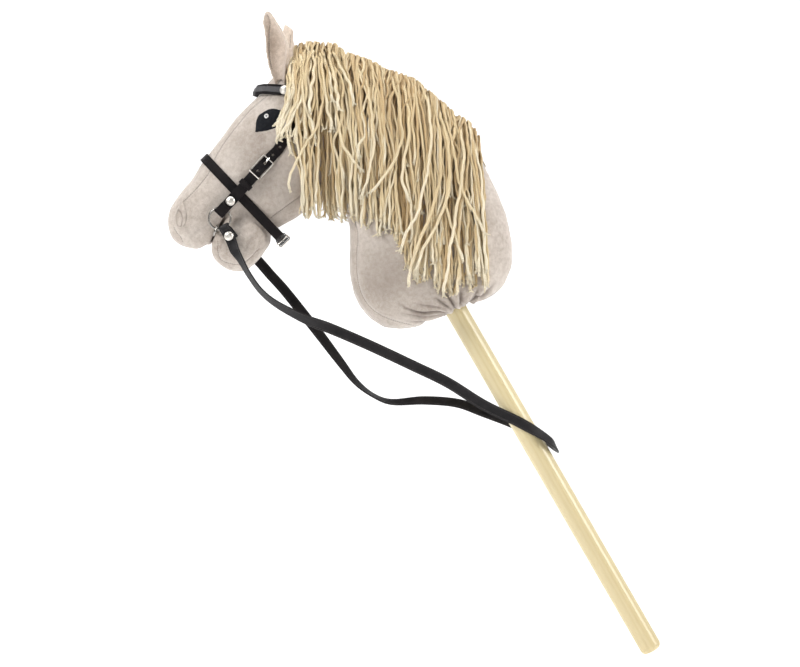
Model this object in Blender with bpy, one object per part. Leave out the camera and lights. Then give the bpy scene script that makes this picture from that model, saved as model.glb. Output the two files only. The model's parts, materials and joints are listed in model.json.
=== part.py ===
"""A stuffed hobby horse: a velour head and neck on a pine stick, with a yarn mane, a leather bridle,
a loose-ring bit and reins.

Metres, +Z up. The origin is the middle of the flat on the stick's foot. The horse looks towards -X,
its near side faces -Y, and the stick leans as it does when the toy is held for riding. Sizes are
written in millimetres, as a named number times MM.
"""

import math

import bmesh
import bpy
import numpy as np
from mathutils import Matrix, Vector
from mathutils.bvhtree import BVHTree

MM = 0.001
GAP = 0.3 * MM  # left between pieces that touch
SKIN_GAP = 0.8 * MM  # left under what lies on a curved skin
MANE_GAP = 1.6 * MM  # left under the yarn
FAR_OFF = 0.4  # a start for rays, outside everything

# The stick
STICK_DIAMETER = 25 * MM
STICK_LEAN = math.radians(30)
STICK_SHOWN = 447 * MM  # from the foot to the gathered neck
STICK_COVER = 54 * MM  # from the stick's hidden end to the skin of the poll
STICK_END_ROUND = 6 * MM
UP_STICK = Vector((-math.sin(STICK_LEAN), 0, math.cos(STICK_LEAN)))

# The stuffed forms
VELOUR = 1.5 * MM
FULLNESS = 2.25  # 2 is an ellipse, more is squarer
FORM_RINGS, FORM_SIDES = 19, 22
JAW_RINGS, JAW_SIDES = 11, 16
FILLING_SIDES = 0.75  # of the casing's
HEAD_PINCH = 0.05  # how much narrower the back of each section is
NECK_PINCH = 0.2
GATHER_CORD = 2.0 * MM
HEM_FULLNESS = 5 * MM  # how far the gathered hem stands out from the stick
HEM_TURNED = 1.5 * MM

# The bridle
STRAP_WIDTH = 12 * MM
STRAP = 1.8 * MM  # thickness of the leather
NOSE_WIDTH = 11 * MM
STUD_DIAMETER = 10.5 * MM
STUD_SHANK = 3.0 * MM
RING_DIAMETER = 27 * MM  # outside
RING_WIRE = 2.3 * MM
EYE_DIAMETER = 14 * MM  # the mouthpiece's end eyes, outside
BAR_DIAMETER = 5 * MM
FRAME_LENGTH = 23.4 * MM  # from the middle of the heel bar to the middle of the tip bar
FRAME_WIDTH = 14.8 * MM  # between the middles of the side bars
FRAME_WIRE = 1.7 * MM
FRAME_TILT = math.radians(7)
PRONG_WIRE = 1.6 * MM
HOLE_DIAMETER = 3.2 * MM
HOLE_PITCH = 12 * MM
REIN_WIDTH = 12 * MM
STACK = 3 * STRAP + FRAME_WIRE + 3 * GAP  # the layers at a buckle
STUD_EDGE = 0.8 * MM
STUD_DOME = 1.8 * MM
BAR_TAPER = 6 * MM  # the mouthpiece narrows this near its eyes

PRONG_HOLE = 17.6 * MM  # from the heel bar to the hole in use
PRONG_THROUGH = (-0.4 * MM, 3.8 * MM)  # along from that hole and out, where the prong passes the billet
PRONG_LEAN = math.radians(54)
LONG_HOLE = 1.4 * MM  # how much longer that hole is than the round ones
PRONG_SLOT = 8 * MM  # the chape's slot, from the heel bar
CHAPE_RISE = 6.8 * MM  # where the folded strap opens towards the heel bar
CHAPE_END = 1.5 * MM  # how near the heel bar its layers run level
BILLET_TAIL = 19 * MM
BILLET_TIP = 0.42  # of the strap's width
OVER_HEEL = 1.5 * MM  # the billet runs level this far each side of the heel bar
UNDER_TIP = 2.0 * MM  # and this far each side of the tip bar
KEEPER_LENGTH = 6 * MM
KEEPER_LEATHER = 1.2 * MM
KEEPER_ROUND = 0.5 * MM
CHEEK_STUD = 16.3 * MM  # these are measured along the cheekpiece
CHEEK_JOIN = 25 * MM  # where the two ends of the folded strap meet behind it
CHEEK_JOIN_GAP = 2 * MM
CHEEK_KEEPER = 41.5 * MM
CHEEK_HEEL = 56.8 * MM
CROWN_START = 37 * MM  # beyond the heel bar, where the billet starts to follow the head
NOSEBAND_HEEL = 8 * MM
NOSEBAND_CORNER = 24 * MM
NOSEBAND_STACK = 6 * MM
NOSEBAND_KEEPER = 10.5 * MM
NOSEBAND_BACK = 14.5 * MM
CHEEK_FOLD_END = -4.3 * MM
CHEEK_FOLD_OPEN = 7.9 * MM
CHEEK_PINCH = 2.9 * MM  # from where a fold opens to where its layers meet
REIN_FOLD_END = 2.4 * MM
REIN_FOLD_OPEN = 8.0 * MM
REIN_PINCH = 3.3 * MM
REIN_TAB = 23.5 * MM
REIN_TAB_STEP = 1 * MM  # the tab under the fold ends this much sooner
REIN_STEPS = 66
REIN_TURN_X = -150 * MM  # nearer the stick than this, the reins turn round it
RING_FOLD = 1.7 * MM  # inner radius of the folds round a bit ring
EYE_INSET = 2.5 * MM
CROWN_STEP = 7 * MM
NOSEBAND_STEPS = 49
BROWBAND_STEPS = 37
HEAD_HALF_AT_BROW = 46 * MM

# The mane
MANE_DEPTH = 12 * MM
MANE_AT_ROOTS = 0.75  # of that depth
MANE_TAPER = 0.45  # how much of it is lost towards the ends
FORELOCK_DEPTH = 5.4 * MM
CREST = 38 * MM  # the mane bends over a line this far below the top of the neck
MANE_TURNS = [math.radians(angle) for angle in (-14, 2, 18, 36, 54, 72, 90)]
MANE_COLUMNS = 22
MANE_DROPS = 6
TAPE_WIDTH = 9 * MM
TAPE = 1.0 * MM
TAPE_STEPS = 31

# Sections of the stuffed forms, from one end to the other, in millimetres: the front point (x, z),
# the back point (x, z) and half the width. The first and last are single points.
HEAD_SECTIONS = [
    (-550, 489, -550, 489, 0),
    (-549, 500, -547, 476, 14),
    (-546, 507, -541, 466, 22),
    (-535, 522, -521, 458, 30),
    (-522, 538, -503, 467, 33),
    (-509, 559, -486, 489, 35),
    (-494, 576, -460, 484, 38),
    (-480, 597, -430, 478, 42),
    (-466, 616, -404, 492, 45),
    (-452, 632, -382, 508, 46),
    (-437, 649, -361, 527, 45),
    (-419, 664, -346, 552, 42),
    (-398, 672, -336, 580, 37),
    (-374, 667, -336, 607, 27),
    (-349, 637, -349, 637, 0),
]
NECK_SECTIONS = [
    (-400, 628, -400, 628, 0),
    (-391, 603, -396, 660, 26),
    (-380, 569, -380, 675, 34),
    (-367, 535, -342, 669, 38),
    (-352, 507, -301, 652, 41),
    (-344, 483, -265, 630, 43),
    (-344, 458, -230, 603, 45),
    (-345, 435, -203, 573, 47),
    (-342, 413, -184, 533, 49),
    (-333, 393, -169, 498, 50),
    (-319, 378, -161, 463, 49),
    (-300, 369, -162, 433, 45),
    (-278, 369, -176, 411, 37),
    (-258, 376, -194, 402, 26),
]
JAW_SECTIONS = [
    (-500, 453, -500, 453, 0),
    (-500, 461, -496, 444, 15),
    (-497, 470, -482, 434, 24),
    (-491, 481, -465, 434.5, 29),
    (-483, 494, -450.5, 445, 32),
    (-473, 503, -440, 456, 32),
    (-461, 505, -434, 469, 28),
    (-444, 495, -444, 495, 0),
]
HEAD_AXIS = (Vector((-0.520, 0, 0.485)), Vector((-0.398, 0, 0.612)))

# The near eye and the near nostril, as outlines (x, z) in millimetres
EYE_OUTLINE = [
    (-450, 586), (-445, 604), (-437, 611), (-428, 613), (-420, 609), (-416, 602),
    (-419, 595), (-428, 590), (-438, 587),
]
EYE_MIDDLE = (-432, 600)
EYE_FELT = 1.0 * MM
NOSTRIL_OUTLINE = [
    (-532, 510), (-528, 494), (-530, 483), (-537, 477), (-542, 482), (-542, 491), (-538, 501),
]
NOSTRIL_MIDDLE = (-535, 492)
NOSTRIL_PAD = 2.0 * MM
PATCH_EDGE = 0.6  # of a patch's thickness, left at its rim
PATCH_RINGS, PATCH_SIDES = 3, 16

# The near ear: points up its middle (x, y, z) with its radius there, in millimetres
EAR_ROWS = [
    (-421.5, -31, 632, 5.4), (-422.5, -33, 644, 7), (-424.4, -36, 655, 10), (-425.3, -38, 668, 12.6),
    (-425.4, -39, 682, 14), (-427.4, -40, 694, 12.4), (-430, -41, 702, 10.2), (-433, -41.5, 711, 7.6),
    (-435.3, -42, 718, 5), (-436, -42, 722, 1.4),
]
EAR_WALL = 3.0 * MM
EAR_STEPS, EAR_ACROSS = 12, 9
NEAR_EAR_YAW, FAR_EAR_YAW = math.radians(65), math.radians(25)
EAR_OPENING = math.radians(95)
FAR_EAR_LEAN = 0.175  # how far the far ear leans back for each millimetre of its height
FAR_EAR_HEIGHT = 0.94  # of the near ear's

# The bridle's lines, in millimetres
CHEEK_START = (-488, 497)
CHEEK_TURN = (-424, 566)
RING_MIDDLE = (-488.9, 489.5)
REIN_FOLD = (-486.6, 484.9)
REIN_STUD = (-479, 470)
MOUTH_BAR = (-493.8, 476)
NOSEBAND_TOP = (-509, 560)
NOSEBAND_FOOT = (-420, 466.2)
BROWBAND_MIDDLE = (-410, 633.5)
BROWBAND_END = -404
BROWBAND_STUD = -417
BROWBAND_LEAN = math.radians(25)  # at the forehead, where it lies back on the slope
BILLET_FALL = [  # the billet through its frame: shares of the frame's length, and of the height at the heel
    (0.235, 1.0), (0.449, 0.85), (0.62, 0.64), (0.769, 0.43),
]
PRONG_CLIMB = [  # the prong through its hole: along from the hole, and the share of its climb
    (-4.0, 0.057), (-1.5, 0.268), (1.5, 0.816), (3.4, 0.986),
]
CROWN_GUIDE = [
    (-413, -46, 585), (-407, -46, 602), (-406, -44, 617), (-405, -40, 633),
    (-400, -33, 650), (-397, -22, 663), (-396, -10, 672), (-396, 0, 676),
]

# The reins' free route from the near ring, round the stick, to the far ring, in millimetres.
# The last number is the strap's twist in degrees from lying flat to the side.
REIN_ROUTE = [
    (-472.5, -44.5, 454, 20), (-465.5, -47.5, 443, 45), (-456, -48, 426, 52), (-442, -45, 407, 45),
    (-423, -42, 392, 35), (-392, -38, 376, 15), (-365, -34, 366, 0), (-321, -28, 347, 0),
    (-272, -22, 324, 0), (-233, -18, 305, 0), (-193, -15, 280, 0), (-154, -13.9, 261, 0),
    (-134, -13.9, 250, 0), (-119, -12, 240.5, 0), (-111.5, -6.5, 234, 0), (-109.5, 0, 230, 0),
    (-111.5, 6.5, 231, 0), (-120, 12, 238, 0), (-136, 13.9, 247.5, 0), (-160, 14, 259, 0),
    (-192, 15, 271, 15), (-222, 18, 281, 35), (-260, 22, 284, 40), (-296, 27, 282, 60),
    (-317, 30, 289, 72), (-337, 33, 304, 60), (-356, 36, 328, 40), (-378, 39, 357, 25),
    (-400, 42, 385, 20), (-421, 45, 411, 20), (-436.5, 47, 428, 20), (-452, 47.5, 445.5, 20),
    (-465.5, 46, 456, 10),
]

# The mane's lower edge along its length, (x, z) in millimetres, and where its roots start and end
MANE_LOWER_EDGE = [
    (-405.6, 570), (-400, 498), (-377, 490), (-354, 491), (-334, 480), (-315, 473), (-292, 460),
    (-272, 419), (-238, 406), (-208, 414), (-184, 415),
]
# The forelock: points down its middle (x, z) with its width there, in millimetres
FORELOCK_ROWS = [(-409.5, 668, 7), (-409.5, 650, 7), (-409.5, 630, 7), (-414, 608, 9), (-421, 583, 5)]
FORELOCK_STEPS = 13
MANE_FRONT = -405.6 * MM
MANE_BACK = -193 * MM
TAPE_FRONT = -386 * MM
TAPE_BEYOND = 2 * MM  # behind the last yarn

LOOKS = {
    "pine": ((0.76, 0.65, 0.36), 0.4, 0),
    "velour": ((0.57, 0.52, 0.47), 0.9, 0),
    "filling": ((0.9, 0.9, 0.88), 1.0, 0),
    "felt": ((0.01, 0.015, 0.04), 0.9, 0),
    "yarn": ((0.73, 0.6, 0.37), 0.9, 0),
    "tape": ((0.6, 0.52, 0.38), 0.9, 0),
    "leather": ((0.012, 0.01, 0.012), 0.42, 0),
    "nickel": ((0.75, 0.74, 0.7), 0.25, 1),
    "cord": ((0.7, 0.66, 0.6), 0.9, 0),
}


# Helpers


def clear_scene():
    for thing in list(bpy.data.objects):
        bpy.data.objects.remove(thing, do_unlink=True)


def material_of(look):
    material = bpy.data.materials.get(look)
    if material is None:
        colour, roughness, metallic = LOOKS[look]
        material = bpy.data.materials.new(look)
        material.use_nodes = True
        shader = material.node_tree.nodes["Principled BSDF"]
        shader.inputs["Base Color"].default_value = (*colour, 1)
        shader.inputs["Roughness"].default_value = roughness
        shader.inputs["Metallic"].default_value = metallic
        material.diffuse_color = (*colour, 1)
    return material


def add_piece(name, points, faces, look, origin=Vector((0, 0, 0)), sharp=math.radians(40)):
    """A closed piece with its faces outwards. Its origin is where it turns or slides."""
    mesh = bpy.data.meshes.new(name)
    mesh.from_pydata([Vector(point) - origin for point in points], [], faces)
    shape = bmesh.new()
    shape.from_mesh(mesh)
    bmesh.ops.recalc_face_normals(shape, faces=shape.faces)
    shape.to_mesh(mesh)
    shape.free()
    mesh.shade_smooth()
    mesh.set_sharp_from_angle(angle=sharp)
    piece = bpy.data.objects.new(name, mesh)
    piece.location = origin
    bpy.context.scene.collection.objects.link(piece)
    mesh.materials.append(material_of(look))
    return piece


def add_cutter(name, points, faces):
    cutter = add_piece(name, points, faces, "cord")
    cutter.hide_render = True
    cutter.display_type = "WIRE"
    return cutter


def cut(piece, *cutters):
    for cutter in cutters:
        modifier = piece.modifiers.new(cutter.name, "BOOLEAN")
        modifier.operation = "DIFFERENCE"
        modifier.solver = "EXACT"
        modifier.object = cutter


def join(piece, *others):
    for other in others:
        modifier = piece.modifiers.new(other.name, "BOOLEAN")
        modifier.operation = "UNION"
        modifier.solver = "EXACT"
        modifier.object = other


def at(x, z, y=0.0):
    """A place given in millimetres, as the outlines are."""
    return Vector((x, y, z)) * MM


def smooth(rows, count):
    """That many rows, evenly along the smooth curve through the given ones."""
    rows = np.array(rows, float)
    padded = np.vstack([2 * rows[0] - rows[1], rows, 2 * rows[-1] - rows[-2]])
    result = []
    for place in np.linspace(0, len(rows) - 1, count):
        first = min(int(place), len(rows) - 2)
        t = place - first
        a, b, c, d = padded[first : first + 4]
        slope = (c - a) * t
        curve = (2 * a - 5 * b + 4 * c - d) * t * t
        twist = (3 * b - a - 3 * c + d) * t**3
        result.append(0.5 * (2 * b + slope + curve + twist))
    return np.array(result)


def even_steps(rows, step):
    """The smooth curve through the rows, in equal steps of about that length."""
    dense = smooth(rows, 40 * len(rows))
    lengths = np.linalg.norm(np.diff(dense[:, :3], axis=0), axis=1)
    travelled = np.concatenate([[0], np.cumsum(lengths)])
    count = max(2, round(travelled[-1] / step) + 1)
    places = np.linspace(0, travelled[-1], count)
    columns = [np.interp(places, travelled, dense[:, column]) for column in range(dense.shape[1])]
    return np.stack(columns, axis=1)


def ring_faces(rings, sides, closed=False):
    """The quads between rings of points that follow each other."""
    faces = []
    for ring in range(rings if closed else rings - 1):
        this, following = ring * sides, (ring + 1) % rings * sides
        for side in range(sides):
            beside = (side + 1) % sides
            faces.append((this + side, this + beside, following + beside, following + side))
    return faces


def halved(faces):
    """The faces with each quad cut in two, always the same way."""
    result = []
    for face in faces:
        result += [face[:3], (face[0], face[2], face[3])] if len(face) == 4 else [face]
    return result


def mirrored(points):
    return [Vector((point[0], -point[1], point[2])) for point in points]


def tree_of(points, faces):
    return BVHTree.FromPolygons([Vector(point) for point in points], faces)


# Shapes


def stuffed_form(sections, rings, sides, swell=0.0, pinch=0.0):
    """A closed stuffed shape through the sections, moved outwards by swell, narrower at its back by pinch."""
    rows = smooth(sections, rings) * MM
    points = [Vector((rows[0][0], 0, rows[0][1]))]
    for front_x, front_z, back_x, back_z, half in rows[1:-1]:
        front = Vector((front_x, 0, front_z))
        back = Vector((back_x, 0, back_z))
        for side in range(sides):
            turn = 2 * math.pi * side / sides
            along = math.copysign(abs(math.cos(turn)) ** (2 / FULLNESS), math.cos(turn))
            across = math.copysign(abs(math.sin(turn)) ** (2 / FULLNESS), math.sin(turn))
            width = half * across * (1 - pinch * along)
            points.append((front + back) / 2 + (back - front) / 2 * along + Vector((0, width, 0)))
    points.append(Vector((rows[-1][0], 0, rows[-1][1])))
    last = len(points) - 1
    faces = [tuple(index + 1 for index in face) for face in ring_faces(rings - 2, sides)]
    faces += [(0, 1 + (side + 1) % sides, 1 + side) for side in range(sides)]
    start = last - sides
    faces += [(last, start + side, start + (side + 1) % sides) for side in range(sides)]
    shape = bmesh.new()
    for point in points:
        shape.verts.new(point)
    shape.verts.ensure_lookup_table()
    for face in halved(faces):
        shape.faces.new([shape.verts[index] for index in face])
    bmesh.ops.recalc_face_normals(shape, faces=shape.faces)
    shape.normal_update()
    points = [vert.co + vert.normal * swell for vert in shape.verts]
    faces = [tuple(vert.index for vert in face.verts) for face in shape.faces]
    shape.free()
    return points, faces


def turned(profile, sides, foot, axis):
    """A turned shape: the profile (radius, height) spun about the axis from the foot."""
    turn = axis.normalized().to_track_quat("Z", "Y").to_matrix()
    points = []
    for radius, height in profile:
        for side in range(sides):
            angle = 2 * math.pi * side / sides
            local = Vector((radius * math.cos(angle), radius * math.sin(angle), height))
            points.append(foot + turn @ local)
    faces = ring_faces(len(profile), sides)
    faces.append(tuple(range(sides)))
    faces.append(tuple(len(points) - sides + side for side in range(sides)))
    return points, faces


def wire(path, radius, sides, closed=False, across=None):
    """A round wire along a path. Its section keeps to the given direction across, so it never twists."""
    points = []
    count = len(path)
    for index, point in enumerate(path):
        before = path[index - 1] if index or closed else point
        after = path[(index + 1) % count] if index < count - 1 or closed else point
        forward = (after - before).normalized()
        side_way = (across - forward * across.dot(forward)).normalized()
        up_way = forward.cross(side_way)
        for side in range(sides):
            angle = 2 * math.pi * (side + 0.5) / sides
            points.append(point + (side_way * math.cos(angle) + up_way * math.sin(angle)) * radius)
    faces = ring_faces(count, sides, closed)
    if not closed:
        faces.append(tuple(range(sides)))
        faces.append(tuple(len(points) - sides + side for side in range(sides)))
    return points, faces


def circle(middle, radius, first, second, steps, start=0.0, sweep=2 * math.pi):
    """Points on a circle in the plane of two directions. A full circle's last point isn't repeated."""
    share = steps if abs(sweep - 2 * math.pi) < 1e-6 else steps - 1
    angles = [start + sweep * step / share for step in range(steps)]
    return [middle + (first * math.cos(a) + second * math.sin(a)) * radius for a in angles]


def strap(path, outward, widths, thickness, closed=False):
    """A flat strap: path is the middle of its inner face, outward the way its outer face looks."""
    points = []
    count = len(path)
    for index, point in enumerate(path):
        before = path[index - 1] if index or closed else point
        after = path[(index + 1) % count] if index < count - 1 or closed else point
        forward = (after - before).normalized()
        out = outward[index] - forward * outward[index].dot(forward)
        out.normalize()
        across = out.cross(forward) * widths[index] / 2
        outer = point + out * thickness
        points += [point - across, point + across, outer + across, outer - across]
    faces = ring_faces(count, 4, closed)
    if not closed:
        faces += [(0, 1, 2, 3), tuple(len(points) - 4 + corner for corner in range(4))]
    return points, faces


def reach_of(trees, foot, out):
    """How far the outermost skin stands from the foot, along out. 0 where there is none."""
    highest = 0.0
    for tree in trees:
        distance = tree.ray_cast(foot + out * FAR_OFF, -out, FAR_OFF)[3]
        if distance is not None:
            highest = max(highest, FAR_OFF - distance)
    return highest


def near_skin(trees, x, z):
    """How far out towards -Y the skin stands at (x, z)."""
    return reach_of(trees, Vector((x, 0, z)), Vector((0, -1, 0)))


def lie_over(trees, feet, outward, across, width, ends=(0, 0)):
    """Points where a taut strap of this width lies over the trees. Each is on the ray from its foot, and
    the first and last are at least at the heights in ends."""
    needed = []
    for foot, out, side in zip(feet, outward, across):
        places = [foot + side * width / 2 * share for share in (-1, -0.5, 0, 0.5, 1)]
        needed.append(max(reach_of(trees, place, out) for place in places) + SKIN_GAP)
    needed[0] = max(needed[0], ends[0])
    needed[-1] = max(needed[-1], ends[1])
    places = [foot + out * height for foot, out, height in zip(feet, outward, needed)]
    for _ in range(400):
        for index in range(1, len(places) - 1):
            height = chord_height(places[index - 1], places[index + 1], feet[index], outward[index])
            if height > needed[index]:
                places[index] = feet[index] + outward[index] * height
    return places


def chord_height(start, end, foot, out):
    """How far along out, from foot, the straight line from start to end passes."""
    chord = end - start
    offset = foot - start
    slant = out.dot(chord)
    spread = chord.dot(chord) - slant * slant
    return (slant * chord.dot(offset) - chord.dot(chord) * out.dot(offset)) / spread


def sides_of(path, outward):
    """The direction across a strap at each point of its path."""
    result = []
    for index in range(len(path)):
        forward = path[min(index + 1, len(path) - 1)] - path[max(index - 1, 0)]
        result.append(outward[index].cross(forward).normalized())
    return result


def skin_patch(outline, trees, thickness, middle):
    """A thin piece that follows the near skin inside an outline of (x, z) points."""
    rings, count = PATCH_RINGS, PATCH_SIDES
    closed = outline + [outline[0]]
    edge = smooth(closed, count + 1)[:-1]
    flat = [np.array(middle)]
    for ring in range(1, rings + 1):
        flat += [np.array(middle) + (point - middle) * ring / rings for point in edge]
    lower = [near_skin(trees, x * MM, z * MM) for x, z in flat]
    points = []
    for (x, z), depth in zip(flat, lower):
        points.append(Vector((x * MM, -depth - SKIN_GAP, z * MM)))
    for index, ((x, z), depth) in enumerate(zip(flat, lower)):
        rise = thickness if index < len(flat) - count else thickness * PATCH_EDGE
        points.append(Vector((x * MM, -depth - SKIN_GAP - rise, z * MM)))
    total = len(flat)
    faces = []
    for layer in (0, total):
        for side in range(count):
            beside = (side + 1) % count
            faces.append((layer, layer + 1 + side, layer + 1 + beside))
            for ring in range(rings - 1):
                inner, outer = layer + 1 + ring * count, layer + 1 + (ring + 1) * count
                faces.append((inner + side, outer + side, outer + beside, inner + beside))
    rim = 1 + (rings - 1) * count
    for side in range(count):
        beside = (side + 1) % count
        faces.append((rim + side, rim + beside, total + rim + beside, total + rim + side))
    return points, faces


def ear(path, radii, yaw):
    """A cupped leaf along a path, open on the side away from its yaw."""
    rows = smooth([(*point, radius) for point, radius in zip(path, radii)], EAR_STEPS)
    across = EAR_ACROSS
    outside, inside = [], []
    for x, y, z, radius in rows:
        middle = Vector((x, y, z)) * MM
        for step in range(across):
            share = step / (across - 1) * 2 - 1
            angle = yaw + EAR_OPENING * share
            way = Vector((math.cos(angle), math.sin(angle), 0))
            wall = EAR_WALL * (1 - 0.5 * share**6)
            outside.append(middle + way * radius * MM)
            inside.append(middle + way * max(radius * MM - wall, GAP))
    points = []
    for row in range(len(rows)):
        start = row * across
        points += outside[start : start + across]
        points += reversed(inside[start : start + across])
    ring = 2 * across
    faces = ring_faces(len(rows), ring)
    for start in (0, (len(rows) - 1) * ring):
        for index in range(across - 1):
            faces.append(
                (start + index, start + index + 1, start + ring - 2 - index, start + ring - 1 - index)
            )
    return points, faces


# The stick and the stuffed forms


def form_skin(sections, pinch, swell=0.0):
    return stuffed_form(sections, FORM_RINGS, FORM_SIDES, swell, pinch)


def stick_length():
    """The stick ends its cover's depth below the skin of the head and neck."""
    skins = [tree_of(*form_skin(HEAD_SECTIONS, HEAD_PINCH)), tree_of(*form_skin(neck_sections(), NECK_PINCH))]
    return STICK_SHOWN + reach_of(skins, UP_STICK * STICK_SHOWN, UP_STICK) - STICK_COVER


def add_stick(length):
    radius = STICK_DIAMETER / 2
    steps = 4
    profile = []
    for step in range(steps):
        angle = math.pi / 2 * step / (steps - 1)
        inset = STICK_END_ROUND * (1 - math.sin(angle))
        profile.append((radius - inset, STICK_END_ROUND * (1 - math.cos(angle))))
    profile += [(radius, length - STICK_END_ROUND / 3)]
    profile += [(radius - STICK_END_ROUND / 3, length)]
    return add_piece("stick", *turned(profile, 28, Vector((0, 0, 0)), UP_STICK), "pine")


def stick_cutter(length):
    radius = STICK_DIAMETER / 2 + GAP
    profile = [(radius, STICK_SHOWN - STICK_DIAMETER), (radius, length + GAP)]
    return add_cutter("stick_room", *turned(profile, 28, Vector((0, 0, 0)), UP_STICK))


def gather_cutter():
    radius = STICK_DIAMETER / 2 + 2 * GAP + GATHER_CORD
    low = STICK_SHOWN + VELOUR
    profile = [(radius, low), (radius, low + 3 * GAP + GATHER_CORD)]
    return add_cutter("gather_room", *turned(profile, 24, Vector((0, 0, 0)), UP_STICK))


def neck_sections():
    """The neck's sections, the last of them closing on the stick where the casing is gathered."""
    across_stick = Vector((math.cos(STICK_LEAN), 0, math.sin(STICK_LEAN)))
    hem = UP_STICK * STICK_SHOWN / MM
    radius = (STICK_DIAMETER / 2 + HEM_FULLNESS) / MM
    front = hem - across_stick * radius + UP_STICK * HEM_TURNED / MM
    back = hem + across_stick * radius + UP_STICK * HEM_TURNED / MM
    closing = (front.x, front.z, back.x, back.z, radius)
    return NECK_SECTIONS + [closing, (hem.x, hem.z, hem.x, hem.z, 0)]


def add_stuffed(name, sections, rings, sides, pinch, cutters):
    """A casing of velour with its filling inside. Returns the casing's outer skin as a tree."""
    skin = stuffed_form(sections, rings, sides, 0, pinch)
    sides = round(sides * FILLING_SIDES)
    inside = stuffed_form(sections, rings, sides, -VELOUR, pinch)
    fill = stuffed_form(sections, rings, sides, -VELOUR - GAP, pinch)
    casing = add_piece(name + "_casing", *skin, "velour", sharp=math.radians(70))
    cut(casing, add_cutter(name + "_inside", *inside), *cutters)
    filling = add_piece(name + "_stuffing", *fill, "filling", sharp=math.radians(70))
    cut(filling, *cutters)
    return tree_of(*skin)


# The bridle


class StrapPlane:
    """The flat plane that the near cheekpiece, ring and rein fold lie on: along, across and out."""

    def __init__(self, trees):
        start, turn = at(*CHEEK_START), at(*CHEEK_TURN)
        flat = (turn - start).normalized()
        side = Vector((-flat.z, 0, flat.x))
        out = Vector((0, -1, 0))
        length = (turn - start).length
        ends = []
        for share in (0.33, 1):
            foot = start + flat * length * share
            ends.append((share * length, near_skin(trees, foot.x, foot.z)))
        slope = (ends[1][1] - ends[0][1]) / (ends[1][0] - ends[0][0])
        lift = 0.0
        strap_ground = [(along, across) for along in range(-30, 86, 2) for across in range(-6, 7, 2)]
        ring_ground = [(along, across) for along in range(-32, 9, 4) for across in range(-30, 12, 4)]
        for along, across in strap_ground + ring_ground:
            foot = start + flat * along * MM + side * across * MM
            lift = max(lift, near_skin(trees, foot.x, foot.z) - slope * along * MM)
        self.origin = start + out * (lift + SKIN_GAP)
        self.along = (flat + out * slope).normalized()
        self.out = (out - self.along * out.dot(self.along)).normalized()
        self.across = self.out.cross(self.along).normalized()

    def place(self, along, across, out):
        return self.origin + self.along * along + self.across * across + self.out * out

    def local(self, x, z):
        """The (along, across) of a point given by its (x, z) in millimetres."""
        offset = at(x, z) - Vector((self.origin.x, 0, self.origin.z))
        flat = Vector((self.along.x, 0, self.along.z)).normalized()
        side = Vector((self.across.x, 0, self.across.z)).normalized()
        return offset.dot(flat), offset.dot(side)

    def turned_to(self, along, across, toward_along, toward_across):
        """A plane in the same surface, with its origin and its direction given by two of its points."""
        other = StrapPlane.__new__(StrapPlane)
        other.origin = self.place(along, across, 0)
        other.along = (self.place(toward_along, toward_across, 0) - other.origin).normalized()
        other.out = self.out
        other.across = other.out.cross(other.along).normalized()
        return other


def plane_at(origin, along, out):
    plane = StrapPlane.__new__(StrapPlane)
    plane.origin, plane.along = origin, along.normalized()
    plane.out = (out - plane.along * out.dot(plane.along)).normalized()
    plane.across = plane.out.cross(plane.along).normalized()
    return plane


def fold(end, open_to, pinch, radius, toward):
    """A strap's inner face (along, out) and outward way round a fold, from its back layer to its front."""
    middle = end - toward * (radius + STRAP)
    rows = [(pinch, STRAP, 0, -1), (open_to, STRAP, 0, -1)]
    for step in range(5):
        angle = math.pi * (step / 4 - 0.5)
        away, up = math.cos(angle) * toward, math.sin(angle)
        rows.append((middle + away * radius, STRAP + radius + up * radius, away, up))
    return rows + [(open_to, STRAP + 2 * radius, 0, 1), (pinch, STRAP + GAP, 0, 1)]


def laid_out(plane, rows):
    """The places and outward ways, in space, of rows given in a strap's plane."""
    places = [plane.place(row[0], 0, row[1]) for row in rows]
    return places, [plane.along * row[2] + plane.out * row[3] for row in rows]


def chape(heel, back):
    """The strap's inner face round the heel bar, from the fold's hidden end to the front layer."""
    radius = FRAME_WIRE / 2 + GAP
    rows = fold(heel + radius + STRAP, heel - CHAPE_END, heel - CHAPE_RISE, radius, 1)
    return [(heel - back, STRAP, 0, -1)] + rows


def billet(heel):
    """The punched strap's inner face, from its tip over the heel bar and under the tip bar."""
    flat = 2 * (STRAP + GAP)
    high = over_heel()
    low = tip_bar_height() - FRAME_WIRE / 2 - GAP - STRAP
    profile = [(-BILLET_TAIL, flat), (-BILLET_TAIL * 0.6, flat), (-CHAPE_RISE, flat)]
    profile += [(-OVER_HEEL, high), (OVER_HEEL, high + GAP / 3)]
    profile += [(FRAME_LENGTH * along, high * out) for along, out in BILLET_FALL]
    profile += [
        (FRAME_LENGTH - UNDER_TIP, low * 0.62), (FRAME_LENGTH + UNDER_TIP, low * 0.4),
        (FRAME_LENGTH + 4 * UNDER_TIP, GAP / 3),
    ]
    return [(heel + along, out, 0, 1) for along, out in profile]


def over_heel():
    """The height of the billet's inner face over the chape and its bar."""
    return 2 * STRAP + FRAME_WIRE + 3 * GAP


def tip_bar_height():
    return STRAP + FRAME_WIRE / 2 + GAP + FRAME_LENGTH * math.sin(FRAME_TILT)


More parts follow.
